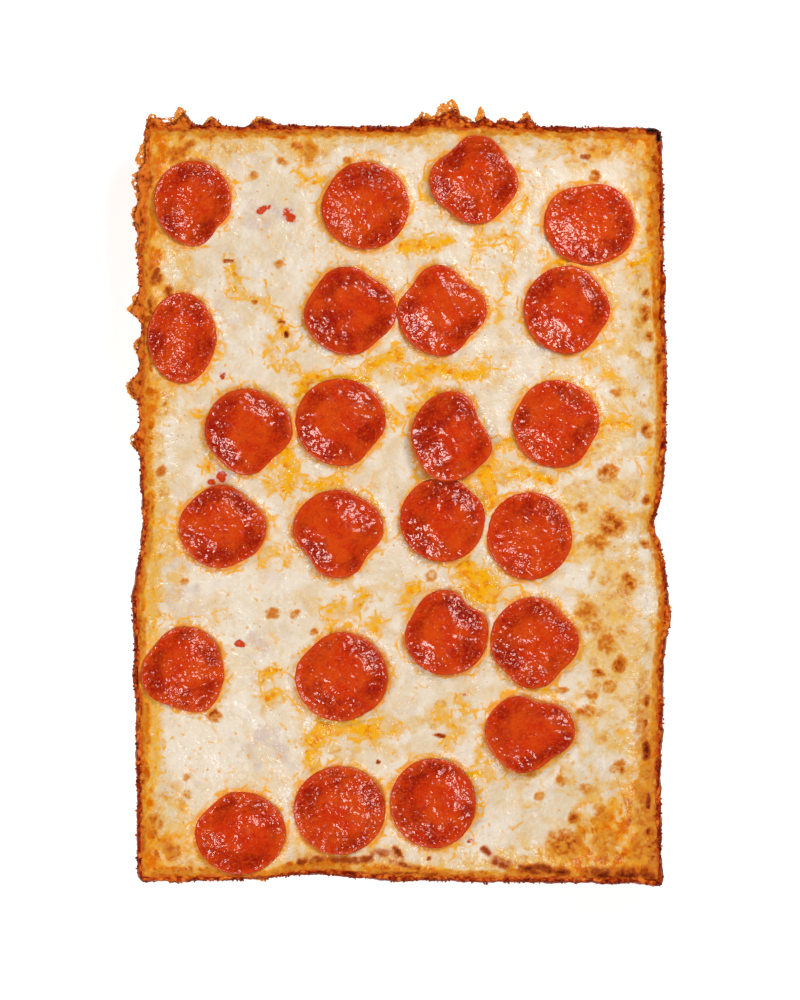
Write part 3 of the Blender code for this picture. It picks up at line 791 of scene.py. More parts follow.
def slice_finish(look):
    """Greasy cured meat: mottled reds, painted shade on its curves, flecks of fat, a darker rim and a wet,
    finely bumpy skin.
    """
    made = Finish("pepperoni", look, "red")
    fine = made.noise(1.1, 4, seed=2)
    small = made.noise(2.8, 4, seed=4)
    broad = made.noise(10, 3, seed=6)
    made.coat("orange", broad, 0.36, 0.64)
    made.lay("red", 0.4)
    # Painted shade on the slice's curves, laid in dark red
    hollow = made.shifted("hollow", made.noise(7, 4, seed=8), 0.32, 0.68, 0.4, 0.4)
    made.coat("dark_meat_and_shade", hollow, 0.2, 1.5, 0.85)
    made.coat("dark_meat_and_shade", small, 0.52, 0.66, 0.35)
    made.coat("orange", fine, 0.48, 0.66, 0.5)
    made.lay("fat", made.sown(made.span(made.cells(1.8), 0.3, 0.14), 4, 10, 0.52, 0.62), 0.5)
    made.coat("dark_meat_and_shade", made.noise(1.0, 2, seed=12), 0.62, 0.7, 0.35)
    meat, made.base = made.base, made.paint("edge")
    made.coat("orange", broad, 0.4, 0.6, 0.6)
    rim = made.shifted("rim", small, 0.3, 0.7, 0.25, 0.25)
    made.base = made.blend(made.times(made.span(rim, 0.35, 1.0), 0.75), meat, made.base)

    sparkle = made.mark("sparkle")
    grain = made.span(made.mark("hollow"), 0.0, 1.0, 0.0, 0.9)
    grain = made.sum(grain, made.sum(made.times(sparkle, 0.5), 0.4))
    normal = made.bump(made.times(made.noise(3.4, 1.4, seed=14, rough=0.4), grain), 0.9)
    beaded = made.times(made.noise(1.9, 1, seed=18), made.span(sparkle, 0.0, 1.0, 0.15, 1.1))
    normal = made.bump(beaded, 0.55, normal)
    normal = made.bump(made.noise(1.3, 0, seed=16), 0.1, normal)
    shine = made.sum(made.span(small, 0.35, 0.65, 0.13, 0.24), made.times(made.mark("rim"), 0.1))
    return made.done(Roughness=shine, Normal=normal, IOR=1.5, Specular_Tint=(1.0, 0.86, 0.84))


def crust_finish(look):
    """Fried cheese at the crest and baked bread low on the sides, from the relief and the height, with
    painted shade darkening the hollows of the relief.
    """
    made = Finish("baked crust", look, "dark")
    fine = made.noise(1.1, 4, seed=7)
    small = made.noise(3.2, 4, seed=9)
    broad = made.noise(22, 3, seed=12)
    relief = made.shifted("relief", fine, 0.3, 0.7, 0.25, 0.25)
    relief = made.shifted(relief, broad, 0.3, 0.7, 0.3, 0.3)
    relief = made.shifted(relief, small, 0.35, 0.65, 0.35, 0.35)
    # Darker in the hollows of the relief and lighter on its bumps: partly painted shade and light
    made.coat("fried", relief, -0.35, 0.35)
    made.coat("copper", relief, 0.2, 1.0)
    made.coat("copper", made.shifted("inner", small, 0.3, 0.7, 0.4, 0.4), 0.3, 0.9, 0.7)
    scorched = made.shifted("scorched", made.noise(5, 3, seed=17), 0.36, 0.64, 0.6, 0.2)
    made.coat("dark", scorched, 0.1, 0.8, 0.8)
    made.coat("caramel", made.shifted("side", broad, 0.3, 0.7, 0.2, 0.2), 0.1, 0.9, 0.65)

    fried, made.base = made.base, made.paint("bread")
    made.coat("brown_bread", small, 0.38, 0.62)
    # Toast in the low relief of the bread, partly painted shade
    made.coat("toast", relief, 0.2, -0.5, 0.6)
    made.coat("toast", made.cells(3.6, made.bent(4, 2, 5)), 0.2, 0.08, 0.7)
    lowness = made.shifted("bread", small, 0.3, 0.7, 0.35, 0.35)
    made.base = made.blend(made.span(lowness, 0.3, 0.75), fried, made.base)
    made.coat("burnt", made.shifted("burnt", fine, 0.3, 0.7, 0.2, 0.2), 0.3, 0.7)
    normal = made.bump(made.noise(1.9, 1, seed=13), 0.7)
    normal = made.bump(made.noise(0.9, 0, seed=15), 0.12, normal)
    shine = made.span(small, 0.3, 0.7, 0.26, 0.5)
    tint = (1.0, 0.5, 0.26)
    return made.done(Roughness=shine, Normal=normal, IOR=1.48, Specular_IOR_Level=0.25, Specular_Tint=tint)


def lace_finish(look):
    """Crisp fried lace: amber, mottled with copper and patches of brown."""
    made = Finish("fried lace", look, "amber")
    fine = made.noise(1.3, 3, seed=19)
    made.coat("copper", fine, 0.38, 0.62)
    made.coat("fried", made.noise(3.2, 3, seed=23), 0.5, 0.68, 0.5)
    normal = made.bump(fine, 0.5)
    tint = (1.0, 0.7, 0.5)
    return made.done(Roughness=0.25, Normal=normal, IOR=1.48, Specular_IOR_Level=0.3, Specular_Tint=tint)


class CheesePlan:
    """The plan of the cheese: where its four sides run."""

    LEVEL_DROP = 1.5 * MM
    CORNER = 9 * MM
    SAMPLES = 400

    def __init__(self, spread):
        self.spread = spread
        self.tree = tree_of("cheese")
        self.low, self.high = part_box("cheese")
        self.level = self.high.z - self.LEVEL_DROP
        self.rows = np.linspace(self.low.y + self.CORNER, self.high.y - self.CORNER, self.SAMPLES)
        self.columns = np.linspace(self.low.x + self.CORNER, self.high.x - self.CORNER, self.SAMPLES)
        self.sides = {
            "left": self.cast(self.rows, lambda y: (-1, y), (1, 0)),
            "right": self.cast(self.rows, lambda y: (1, y), (-1, 0)),
            "bottom": self.cast(self.columns, lambda x: (x, -1), (0, 1)),
            "top": self.cast(self.columns, lambda x: (x, 1), (0, -1)),
        }

    def cast(self, places, start, way):
        found = []
        for place in places.tolist():
            hit = self.tree.ray_cast(Vector((*start(place), self.level)), Vector((*way, 0)))[0]
            found.append(hit.x if way[0] else hit.y)
        return soften(np.array(found), 3, (0,)) - sum(way) * self.spread

    def side(self, name, along):
        places = self.rows if name in ("left", "right") else self.columns
        return np.interp(along, places, self.sides[name])

    def depths(self, x, y):
        """How far in from each side the places are."""
        return {
            "left": x - self.side("left", y),
            "right": self.side("right", y) - x,
            "bottom": y - self.side("bottom", x),
            "top": self.side("top", x) - y,
        }


def band_width(side, x, y):
    """How wide the gold band is beside each place, in metres."""
    pixels, widths = zip(*GOLD_BAND[side])
    if side in ("left", "right"):
        at = ORIGIN_PIXEL[1] - y / PIXEL
    else:
        at = ORIGIN_PIXEL[0] + x / PIXEL
    return np.interp(at, pixels, widths) * MM


ZONES = {"gold": GOLD_ZONES, "pale": PALE_ZONES, "warm": WARM_ZONES, "dusk": GREY_SHADE_ZONES}
MARKS = ("grease", "brown", "sauce", "char", "gold", "warm", "pale", "dusk", "halo", "ring", "rust")
STREAK_FADE = 2 * MM


def cheese_marks(x, y, depths, nearest, forms):
    """Where the cheese is gold, greasy, blistered, pale, sauced and burnt."""
    plan = flat_points(x, y)
    shift_x, shift_y = (
        lumps(plan, 7 * MM, seed) * 1.5 * MM + lumps(plan, 2.6 * MM, seed + 2) * 0.8 * MM for seed in (1, 2)
    )
    loose_x, loose_y = x + shift_x, y + shift_y
    patchy = lumps(plan, 8 * MM, 5)
    marks = {name: np.zeros(x.shape) for name in MARKS}

    def raise_mark(name, values):
        marks[name] = np.maximum(marks[name], values)

    for half, depth, *path in GREASE + SEAMS:
        away = path_distance(loose_x, loose_y, path)
        raise_mark("grease", 0.7 + 0.3 * depth + (max(half, 0.5) * 1.1 * MM - away) / STREAK_FADE)
        raise_mark("halo", 0.5 * ease(-away, -(half + 5) * MM, -half * MM))
    for half, depth, *path in CHAR:
        away = path_distance((x + loose_x) / 2, (y + loose_y) / 2, path)
        raise_mark("char", depth * ease(-away, -(1.5 * half + 0.5) * MM, 0))
    for mark in BLISTERS:
        share = patch_distance(loose_x, loose_y, mark)
        raise_mark("brown", 1.1 * mark[4] * ease(-share, -1.45, -0.4))
    for mark in SAUCE:
        share = patch_distance(loose_x, loose_y, mark)
        raise_mark("sauce", ease(-share, -1.4, -0.3))
    for name, zones in ZONES.items():
        for mark in zones:
            share = patch_distance(x + 2 * shift_x, y + 2 * shift_y, mark)
            raise_mark(name, mark[4] * ease(-share, -1.35, -0.2))
    for side in GOLD_BAND:
        wide = band_width(side, x, y) * (1 + 0.4 * patchy)
        raise_mark("gold", 1.25 * ease(-depths[side], -wide, -0.3 * wide))
        raise_mark("warm", 1.05 * ease(-depths[side], -2.6 * wide, -0.8 * wide))
    raise_mark("brown", ease(-nearest, -5 * MM, -0.3 * MM) * (0.6 + 0.9 * lumps(plan, 5 * MM, 6)))
    raise_mark("rust", ease(-nearest, -2.6 * MM, -0.2 * MM) * (0.85 + 0.7 * lumps(plan, 4 * MM, 7)))
    for form in forms:
        share, angle = form.share(x, y)
        away = (share - 1.0) * form.radius(angle)
        halo = 0.75 * ease(-away, -2.8 * MM, 0.2 * MM) + 0.42 * ease(-away, -7 * MM, 0)
        raise_mark("halo", halo * (0.7 + 0.8 * patchy))
        # The peach ring: grease stain, and painted light on the cheese's lip against the slice
        raise_mark("ring", ease(-away, -2.6 * MM, -0.3 * MM) * np.clip(0.75 + 1.1 * patchy, 0.1, 1.2))
    return marks


class PIZZA_OT_cheese(bpy.types.Operator):
    """Pours the melted cheese over the tray, up the wall and round every slice"""

    bl_idname = "pizza.cheese"
    bl_label = "Melted cheese"

    CLEAR = 0.25 * MM
    LIP_WIDTH = 4.0 * MM
    CLIMB_LIMIT = 1.9 * MM
    CORNER_ROUND = 0.6 * MM
    CORNER_FROM = (0.93, 0.95)
    CLIMB_WIDTH = 3.5 * MM
    INWARD = 0.985
    FOOT_SHARE = 0.992
    NEAR = 1.4

    def execute(self, context):
        look = context.scene.pizza_cheese
        plan = CheesePlan(look.spread)
        forms = [SliceForm(node) for node in SLICE_NODES]
        rows = round((plan.high.y - plan.low.y) / look.cell)
        columns = round((plan.high.x - plan.low.x) / look.cell)
        v = np.linspace(0, 1, rows + 1)[:, None]
        u = np.linspace(0, 1, columns + 1)[None, :]
        y = plan.low.y + (plan.high.y - plan.low.y) * v + 0 * u
        x = plan.side("left", y) * (1 - u) + plan.side("right", y) * u
        y = plan.side("bottom", x) * (1 - v) + plan.side("top", x) * v
        x = plan.side("left", y) * (1 - u) + plan.side("right", y) * u
        from_u, from_v = self.CORNER_FROM
        corner = ease(np.abs(2 * u - 1), from_u, 1.0) * ease(np.abs(2 * v - 1), from_v, 1.0)
        x = x - np.sign(2 * u - 1) * self.CORNER_ROUND * corner
        y = y - np.sign(2 * v - 1) * self.CORNER_ROUND * corner
        z = look_down(plan.tree, x * self.INWARD, y * self.INWARD)
        z = np.where(np.isnan(z), plan.high.z, z)
        z = soften(z, 10, (0, 1))
        depths = plan.depths(x, y)
        nearest = np.minimum.reduce(list(depths.values()))
        z = z + look.climb * ease(-nearest, -self.CLIMB_WIDTH, 0)
        marks = cheese_marks(x, y, depths, nearest, forms)
        z = z + self.relief(look, x, y, marks, nearest)
        z = self.round_slices(look, x, y, z, forms)
        self.build(look, x, y, z, marks, plan)
        return {"FINISHED"}

    def relief(self, look, x, y, marks, nearest):
        """The lumps, blisters and grooves of the cheese's top."""
        points = flat_points(x, y)
        rise = 0
        for height, size, seed in ((look.swell, 13, 11), (look.ripple, 5, 12), (look.grain, 2.3, 13)):
            rise = rise + height * lumps(points, size * MM, seed)
        rise = rise * (0.45 + 0.55 * ease(nearest, 0.5 * MM, 5 * MM))
        rise = rise + look.blister * marks["brown"] * ease(nearest, 0, 4 * MM)
        rise = rise - look.groove * ease(marks["grease"], 0.8, 1.3)
        return rise - 0.5 * look.groove * np.clip(np.maximum(marks["sauce"], marks["char"]), 0, 1)

    def round_slices(self, look, x, y, z, forms):
        """Keeps the cheese under each slice, and lets it climb to the slice's edge."""
        sink = bpy.context.scene.pizza_slice.sink
        wobble = lumps(flat_points(x, y), 4 * MM, 14)
        for form in forms:
            share, angle = form.share(x, y)
            near = share < self.NEAR
            here = share[near]
            under = form.under(x[near], y[near])
            away = (here - 1.0) * form.radius(angle[near])
            lip = ease(-away, -self.LIP_WIDTH, -0.3 * MM) * (0.75 + 0.35 * wobble[near])
            climb = np.clip(under + look.lip - z[near], 0, self.CLIMB_LIMIT) * lip
            outside = z[near] + climb
            inside = np.minimum(z[near], under - self.CLEAR - 1.6 * sink * ease(-here, -0.97, -0.5))
            inward = ease(-here, -0.97, -0.87)
            z[near] = outside * (1 - inward) + inside * inward
        return z

    def build(self, look, x, y, z, marks, plan):
        rows, columns = x.shape
        points = np.stack([x, y, z], -1).reshape(-1, 3)
        index = np.arange(rows * columns).reshape(rows, columns)
        quads = np.stack([index[:-1, :-1], index[:-1, 1:], index[1:, 1:], index[1:, :-1]], -1)
        faces = [tuple(face) for face in quads.reshape(-1, 4).tolist()]
        loop = np.concatenate([index[0, :-1], index[:-1, -1], index[-1, :0:-1], index[:0:-1, 0]])
        foot = points[loop] * (self.FOOT_SHARE, self.FOOT_SHARE, 0)
        foot[:, 2] = plan.low.z
        start = len(points)
        size = len(loop)
        for step in range(size):
            after = (step + 1) % size
            faces.append((start + step, start + after, int(loop[after]), int(loop[step])))
        faces.append(tuple(range(start + size - 1, start - 1, -1)))
        points = np.concatenate([points, foot])
        for name, values in marks.items():
            marks[name] = np.concatenate([values.ravel(), values.ravel()[loop]])
        piece = mesh_piece("melted_cheese", points, faces, cheese_finish(look), marks)
        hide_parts("cheese")


class PIZZA_OT_slices(bpy.types.Operator):
    """Makes every slice of pepperoni, curled and bumpy, on the plain slice's place"""

    bl_idname = "pizza.slices"
    bl_label = "Slices of pepperoni"

    # The edge's rounding: share of the radius, and share of the thickness below the top
    EDGE = ((0.972, 0.02), (0.99, 0.14), (1.0, 0.38), (0.998, 0.66), (0.985, 0.9), (0.96, 1.0))

    def execute(self, context):
        look = context.scene.pizza_slice
        finish = slice_finish(look)
        for number, node in enumerate(SLICE_NODES, 1):
            self.make(look, SliceForm(node), number, node, finish)
        return {"FINISHED"}

    def make(self, look, form, number, node, finish):
        angles = np.linspace(0, TURN, look.segments, endpoint=False)
        top_shares = np.linspace(0, 0.955, look.rings + 1)[1:]
        shares = np.concatenate([top_shares, [share for share, drop in self.EDGE], [0.6]])
        drops = np.concatenate([np.zeros(look.rings), [drop for share, drop in self.EDGE], [1.0]])
        share, angle = np.meshgrid(shares, angles, indexing="ij")
        circle = flat_points(np.cos(angles), np.sin(angles))
        ragged = 1 + 0.008 * lumps(4 * MM * circle, 1.1 * MM, number)
        x, y = form.at(share * form.radius(angle) * ragged, angle)
        thickness = form.top(x, y) - form.under(x, y)
        z = form.top(x, y) - thickness * drops[:, None]
        on_top = 1 - drops[:, None]
        points = flat_points(x, y)
        right, up, depth, sparkle = SLICE_BOWLS[number]
        bumps = lumps(points, 4.2 * MM, 21) + (0.3 + 0.3 * sparkle) * lumps(points, 2.3 * MM, 22)
        z = z + look.bump * bumps * on_top * (0.4 + 0.6 * np.maximum(ease(share, 0.2, 0.7), sparkle))
        wave = lumps(7 * MM * circle, 6 * MM, 30 + number)
        strength = np.clip(0.8 + 0.9 * wave, 0.3, 1.3)
        z = z + look.curl * np.clip(2 * wave, 0, 1) * ease(share, 0.6, 1.05)
        bowl = form.away(x, y, angle, right * (1 - share), up * (1 - share))
        steep = 1 - ease(bowl, 0.42, 0.97)
        z = z - depth * look.sink * (strength * steep + (1 - strength) * (1 - ease(bowl, 0.1, 0.97)))
        # Painted shade on the bowl's curled slopes, where the slice curves up
        hollow = ease(bowl, 0.35, 0.7) * (1 - 0.6 * ease(share, 0.85, 0.98)) * strength
        # More painted shade at the shaded places of this slice
        for owner, right, up, size in SHADED_PLACES:
            if owner == number:
                hollow = hollow + 0.7 * ease(-form.away(x, y, angle, right, up), -size, -0.2 * size)
        sparkles = np.full(share.shape, sparkle)
        if number in CREASES:
            crease = ease(-path_distance(x, y, CREASES[number]), -2.2 * MM, 0) * on_top
            z = z + look.crease * crease
            sparkles = sparkles - 0.8 * crease
        top = z[0].mean()
        poles = [(*form.middle, top), (*form.middle, top - thickness[0].mean())]
        points = np.concatenate([np.stack([x, y, z], -1).reshape(-1, 3), poles])
        marks = {
            "rim": np.append(ease(share, 0.88, 1.0), (0.0, 1.0)),
            "hollow": np.append(hollow, (0.0, 0.0)),
            "sparkle": np.append(sparkles, (sparkle, sparkle)),
        }
        piece = mesh_piece(f"slice_{number:02d}", points, self.faces(*x.shape), finish, marks)
        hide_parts(node)

    def faces(self, rings, around):
        """The squares between the rings, with triangles round the middles of the top and the underside."""
        faces = ring_faces(rings, around)
        pole = rings * around
        last = pole - around
        for step in range(around):
            after = (step + 1) % around
            faces.append((pole, step, after))
            faces.append((pole + 1, last + after, last + step))
        return faces


class CrustWalk:
    """A walk round the crust, with what its wall is like at each station."""

    MARGIN = 12 * MM
    CORNER = 38 * MM
    # Heights in millimetres at which the outside is met, then the ways that fan out over the crest
    LEVELS = [0.0, 0.35, 0.9, 1.6] + [2.95 + 1.35 * step for step in range(21)]
    FAN = [math.radians(6 + 10.4 * step) for step in range(17)]
    HUB_DEPTH = 1.5 * MM
    INNER_FOOT = 20 * MM

    def __init__(self, stations):
        self.tree = tree_of("crust")
        self.low, self.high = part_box("crust")
        self.stations = stations
        self.places, self.ways = self.track()

    def track(self):
        """Stations on a rounded rectangle outside the crust, anticlockwise, with their outward ways."""
        half_x = self.high.x + self.MARGIN
        half_y = self.high.y + self.MARGIN
        radius = self.CORNER
        corners = []
        for turn, (sign_x, sign_y) in enumerate(((1, 1), (-1, 1), (-1, -1), (1, -1))):
            middle = Vector((sign_x * (half_x - radius), sign_y * (half_y - radius)))
            corners.append((middle, turn * TURN / 4))
        dense = []
        for middle, first in corners:
            for step in range(17):
                angle = first + TURN / 4 * step / 16
                way = Vector((math.cos(angle), math.sin(angle)))
                dense.append((middle + way * radius, way))
        dense.append(dense[0])
        spots = np.array([place for place, way in dense])
        ways = np.array([way for place, way in dense])
        travelled = np.concatenate([[0], np.cumsum(np.hypot(*np.diff(spots, axis=0).T))])
        at = np.linspace(0, travelled[-1], self.stations, endpoint=False)
        spots = np.stack([np.interp(at, travelled, spots[:, k]) for k in (0, 1)], -1)
        ways = np.stack([np.interp(at, travelled, ways[:, k]) for k in (0, 1)], -1)
        return spots, ways / np.hypot(*ways.T)[:, None]

    def hit(self, start, way):
        return self.tree.ray_cast(Vector(start), Vector(way))[0]

    def section(self, station):
        """The wall's section here, from its base up its outside, over the crest and down inside."""
        (x, y), (out_x, out_y) = self.places[station].tolist(), self.ways[station].tolist()
        section = []
        for level in self.LEVELS:
            height = max(level * MM, 0.02 * MM)
            found = self.hit((x, y, height), (-out_x, -out_y, 0))
            section.append((found.x, found.y, level * MM))
        hub = Vector(section[-1]) - Vector((out_x, out_y, 0)) * self.HUB_DEPTH
        for angle in self.FAN:
            way = (out_x * math.cos(angle), out_y * math.cos(angle), math.sin(angle))
            section.append(tuple(self.hit(hub, way)))
        inner = Vector(section[-1]) - Vector((out_x, out_y, 0)) * 0.3 * MM
        section.append((inner.x, inner.y, self.INNER_FOOT))
        return section

    def wall(self):
        """All sections as an array: rows up the wall, then stations, then coordinates."""
        sections = np.array([self.section(station) for station in range(self.stations)])
        return soften(sections.transpose(1, 0, 2), 2, (1,), closed=True)


class PIZZA_OT_crust(bpy.types.Operator):
    """Bakes the crust: the craggy wall with its pebbled crest, and the browned underside"""

    bl_idname = "pizza.crust"
    bl_label = "Baked crust"

    BURNT_PIXEL = (658, 130)
    BASE_SHARE = 0.97
    INNER_ROWS = 8
    TINY = 1e-12

    def execute(self, context):
        look = context.scene.pizza_crust
        walk = CrustWalk(look.stations)
        wall = walk.wall()
        along = np.roll(wall, -1, 1) - np.roll(wall, 1, 1)
        up = np.gradient(wall, axis=0)
        normals = np.cross(along, up)
        normals = normals / np.maximum(np.linalg.norm(normals, axis=-1, keepdims=True), self.TINY)
        normals = soften(normals, 2, (0, 1))
        craggy = ease(wall[..., 2], 0.5 * MM, 6 * MM)
        crest = ease(wall[..., 2], 24 * MM, 31 * MM)
        coarse = lumps(wall * (1, 1, 0.6), 6 * MM, 41)
        bubbles = np.maximum(self.bubbles(wall, 2.3 * MM), 0.8 * self.bubbles(wall + 5 * MM, 1.4 * MM))
        grit = lumps(wall, 1.2 * MM, 43)
        relief = look.crag * coarse + look.bubble * bubbles * (0.35 + 0.65 * crest) + look.grit * grit
        # The last row is the wall's inner foot, under the cheese, and stays plain
        craggy[-1] = 0
        wall = wall + normals * (relief * craggy - 0.3 * look.bubble * crest)[..., None]
        self.build(look, wall, 0.35 * coarse + 1.5 * bubbles - 0.75 + 0.3 * grit)
        return {"FINISHED"}

    def bubbles(self, wall, size):
        """Domes of this size, side by side, from 0 between them to 1 on top."""
        nearest = [noise.voronoi(place)[0][0] for place in (wall / size).reshape(-1, 3).tolist()]
        return np.sqrt(np.clip(1 - 2.2 * np.array(nearest) ** 2, 0, 1)).reshape(wall.shape[:2])

    def marks(self, wall, relief):
        """Where the crust is bread, burnt, fried lightly, scorched and brown, row by row from its inside."""
        x, y, z = np.moveaxis(wall, -1, 0)
        row = np.arange(len(wall))[:, None] + 0 * z
        burnt_x, burnt_y = spot(self.BURNT_PIXEL)
        # The upper part of the left side is the lightest
        light = ease(-x, 105 * MM, 113 * MM) * ease(y, 10 * MM, 40 * MM)
        inner = np.interp(row, (0, self.INNER_ROWS), (1.2, 0))
        return {
            "relief": relief,
            "bread": 1 - ease(z, 9 * MM, 24 * MM),
            "burnt": ease(-np.hypot(x - burnt_x, y - burnt_y), -8 * MM, -4 * MM),
            "inner": np.maximum(inner, 0.8 * light * (1 - ease(row, 16, 22))),
            "scorched": ease(row, 8, 11) * (1 - ease(row, 15, 20)) * (1 - light),
            "side": 1 - ease(z, 20 * MM, 29 * MM),
        }

    def build(self, look, wall, relief):
        wall = np.concatenate([wall[:1] * (self.BASE_SHARE, self.BASE_SHARE, 1), wall])[::-1]
        relief = np.concatenate([np.zeros_like(relief[:1]), relief])[::-1]
        rows, around = relief.shape
        faces = ring_faces(rows, around)
        faces.append(tuple(range(around)))
        base = (rows - 1) * around
        faces.append(tuple(range(base + around - 1, base - 1, -1)))
        piece = mesh_piece("baked_crust", wall, faces, crust_finish(look), self.marks(wall, relief))
        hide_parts("crust")


class Grower(NodeTree):
    """A Geometry Nodes tree with named inputs, ending in real geometry with its material."""

    def __init__(self, name, amount):
        self.tree = bpy.data.node_groups.new(name, "GeometryNodeTree")
        kinds = {"Geometry": "Geometry", amount: "Float", "Radius": "Float", "Seed": "Int"}
        for label, kind in kinds.items():
            self.tree.interface.new_socket(label, in_out="INPUT", socket_type="NodeSocket" + kind)
        self.tree.interface.new_socket("Geometry", in_out="OUTPUT", socket_type="NodeSocketGeometry")
        self.given = self.tree.nodes.new("NodeGroupInput").outputs
        self.result = self.tree.nodes.new("NodeGroupOutput").inputs[0]

    def chance(self, low, high, seed):
        """A random vector for each point."""
        inputs = {0: low, 1: high, "Seed": seed}
        return self.add("FunctionNodeRandomValue", inputs, data_type="FLOAT_VECTOR").outputs["Value"]

    def scatter(self, points, low, high, seed, material):
        """Ends the tree with lumps on its points, turned and scaled at random, as real geometry."""
        lump = self.add("GeometryNodeMeshIcoSphere", {"Radius": self.given["Radius"], "Subdivisions": 2})
        turn = self.chance((0.0, 0.0, 0.0), (TURN, TURN, TURN), seed)
        scale = self.chance(low, high, seed + 1)
        inputs = {"Points": points, "Instance": lump.outputs["Mesh"], "Rotation": turn, "Scale": scale}
        placed = self.add("GeometryNodeInstanceOnPoints", inputs).outputs["Instances"]
        real = self.add("GeometryNodeRealizeInstances", {"Geometry": placed}).outputs["Geometry"]
        smooth = self.add("GeometryNodeSetShadeSmooth", {"Geometry": real}).outputs["Geometry"]
        coated = self.add("GeometryNodeSetMaterial", {"Geometry": smooth, "Material": material})
        self.join(coated.outputs["Geometry"], self.result)

    def grow(self, seedbed, values):
        """Runs the tree on a mesh and gives the result as a plain mesh."""
        holder = bpy.data.objects.new("seedbed", seedbed)
        bpy.context.scene.collection.objects.link(holder)
        modifier = holder.modifiers.new("grow", "NODES")
        modifier.node_group = self.tree
        for item in self.tree.interface.items_tree:
            if item.in_out == "INPUT" and item.name in values:
                modifier[item.identifier] = values[item.name]
        found = holder.evaluated_get(bpy.context.evaluated_depsgraph_get())
        mesh = bpy.data.meshes.new_from_object(found)
        holder.modifiers.remove(modifier)
        bpy.data.objects.remove(holder)
        return mesh


class PIZZA_OT_beads(bpy.types.Operator):
    """Strings small beads of fried cheese along the crest"""

    bl_idname = "pizza.beads"
    bl_label = "Beads on the crest"

    # Which way of the fan the beads lie on, and how far they stray from it
    FAN_STEP = 6
    STRAY_LOW = (-0.9 * MM, -0.9 * MM, -2.0 * MM)
    STRAY_HIGH = (0.9 * MM, 0.9 * MM, 0.2 * MM)

    def execute(self, context):
        look = context.scene.pizza_crust
        walk = CrustWalk(look.stations)
        crest = walk.wall()[len(walk.LEVELS) + self.FAN_STEP]
        path = bpy.data.meshes.new("crest")
        size = len(crest)
        path.from_pydata(crest.tolist(), [(step, (step + 1) % size) for step in range(size)], [])
        finish = crust_finish(look)
        grower = Grower("beads", "Spacing")
        given = grower.given
        curve = grower.add("GeometryNodeMeshToCurve", {"Mesh": given["Geometry"]}).outputs["Curve"]
        inputs = {"Curve": curve, "Length": given["Spacing"]}
        even = grower.add("GeometryNodeResampleCurve", inputs, mode="LENGTH").outputs["Curve"]
        points = grower.add("GeometryNodeCurveToPoints", {"Curve": even}, mode="EVALUATED").outputs["Points"]
        stray = grower.chance(self.STRAY_LOW, self.STRAY_HIGH, given["Seed"])
        inputs = {"Geometry": points, "Offset": stray}
        moved = grower.add("GeometryNodeSetPosition", inputs).outputs["Geometry"]
        grower.scatter(moved, (0.35, 0.35, 0.3), (1.0, 1.0, 0.8), 5, finish)
        mesh = grower.grow(path, {"Spacing": look.beads, "Radius": look.bead, "Seed": 3})
        place_piece("crest_beads", mesh, finish)
        return {"FINISHED"}


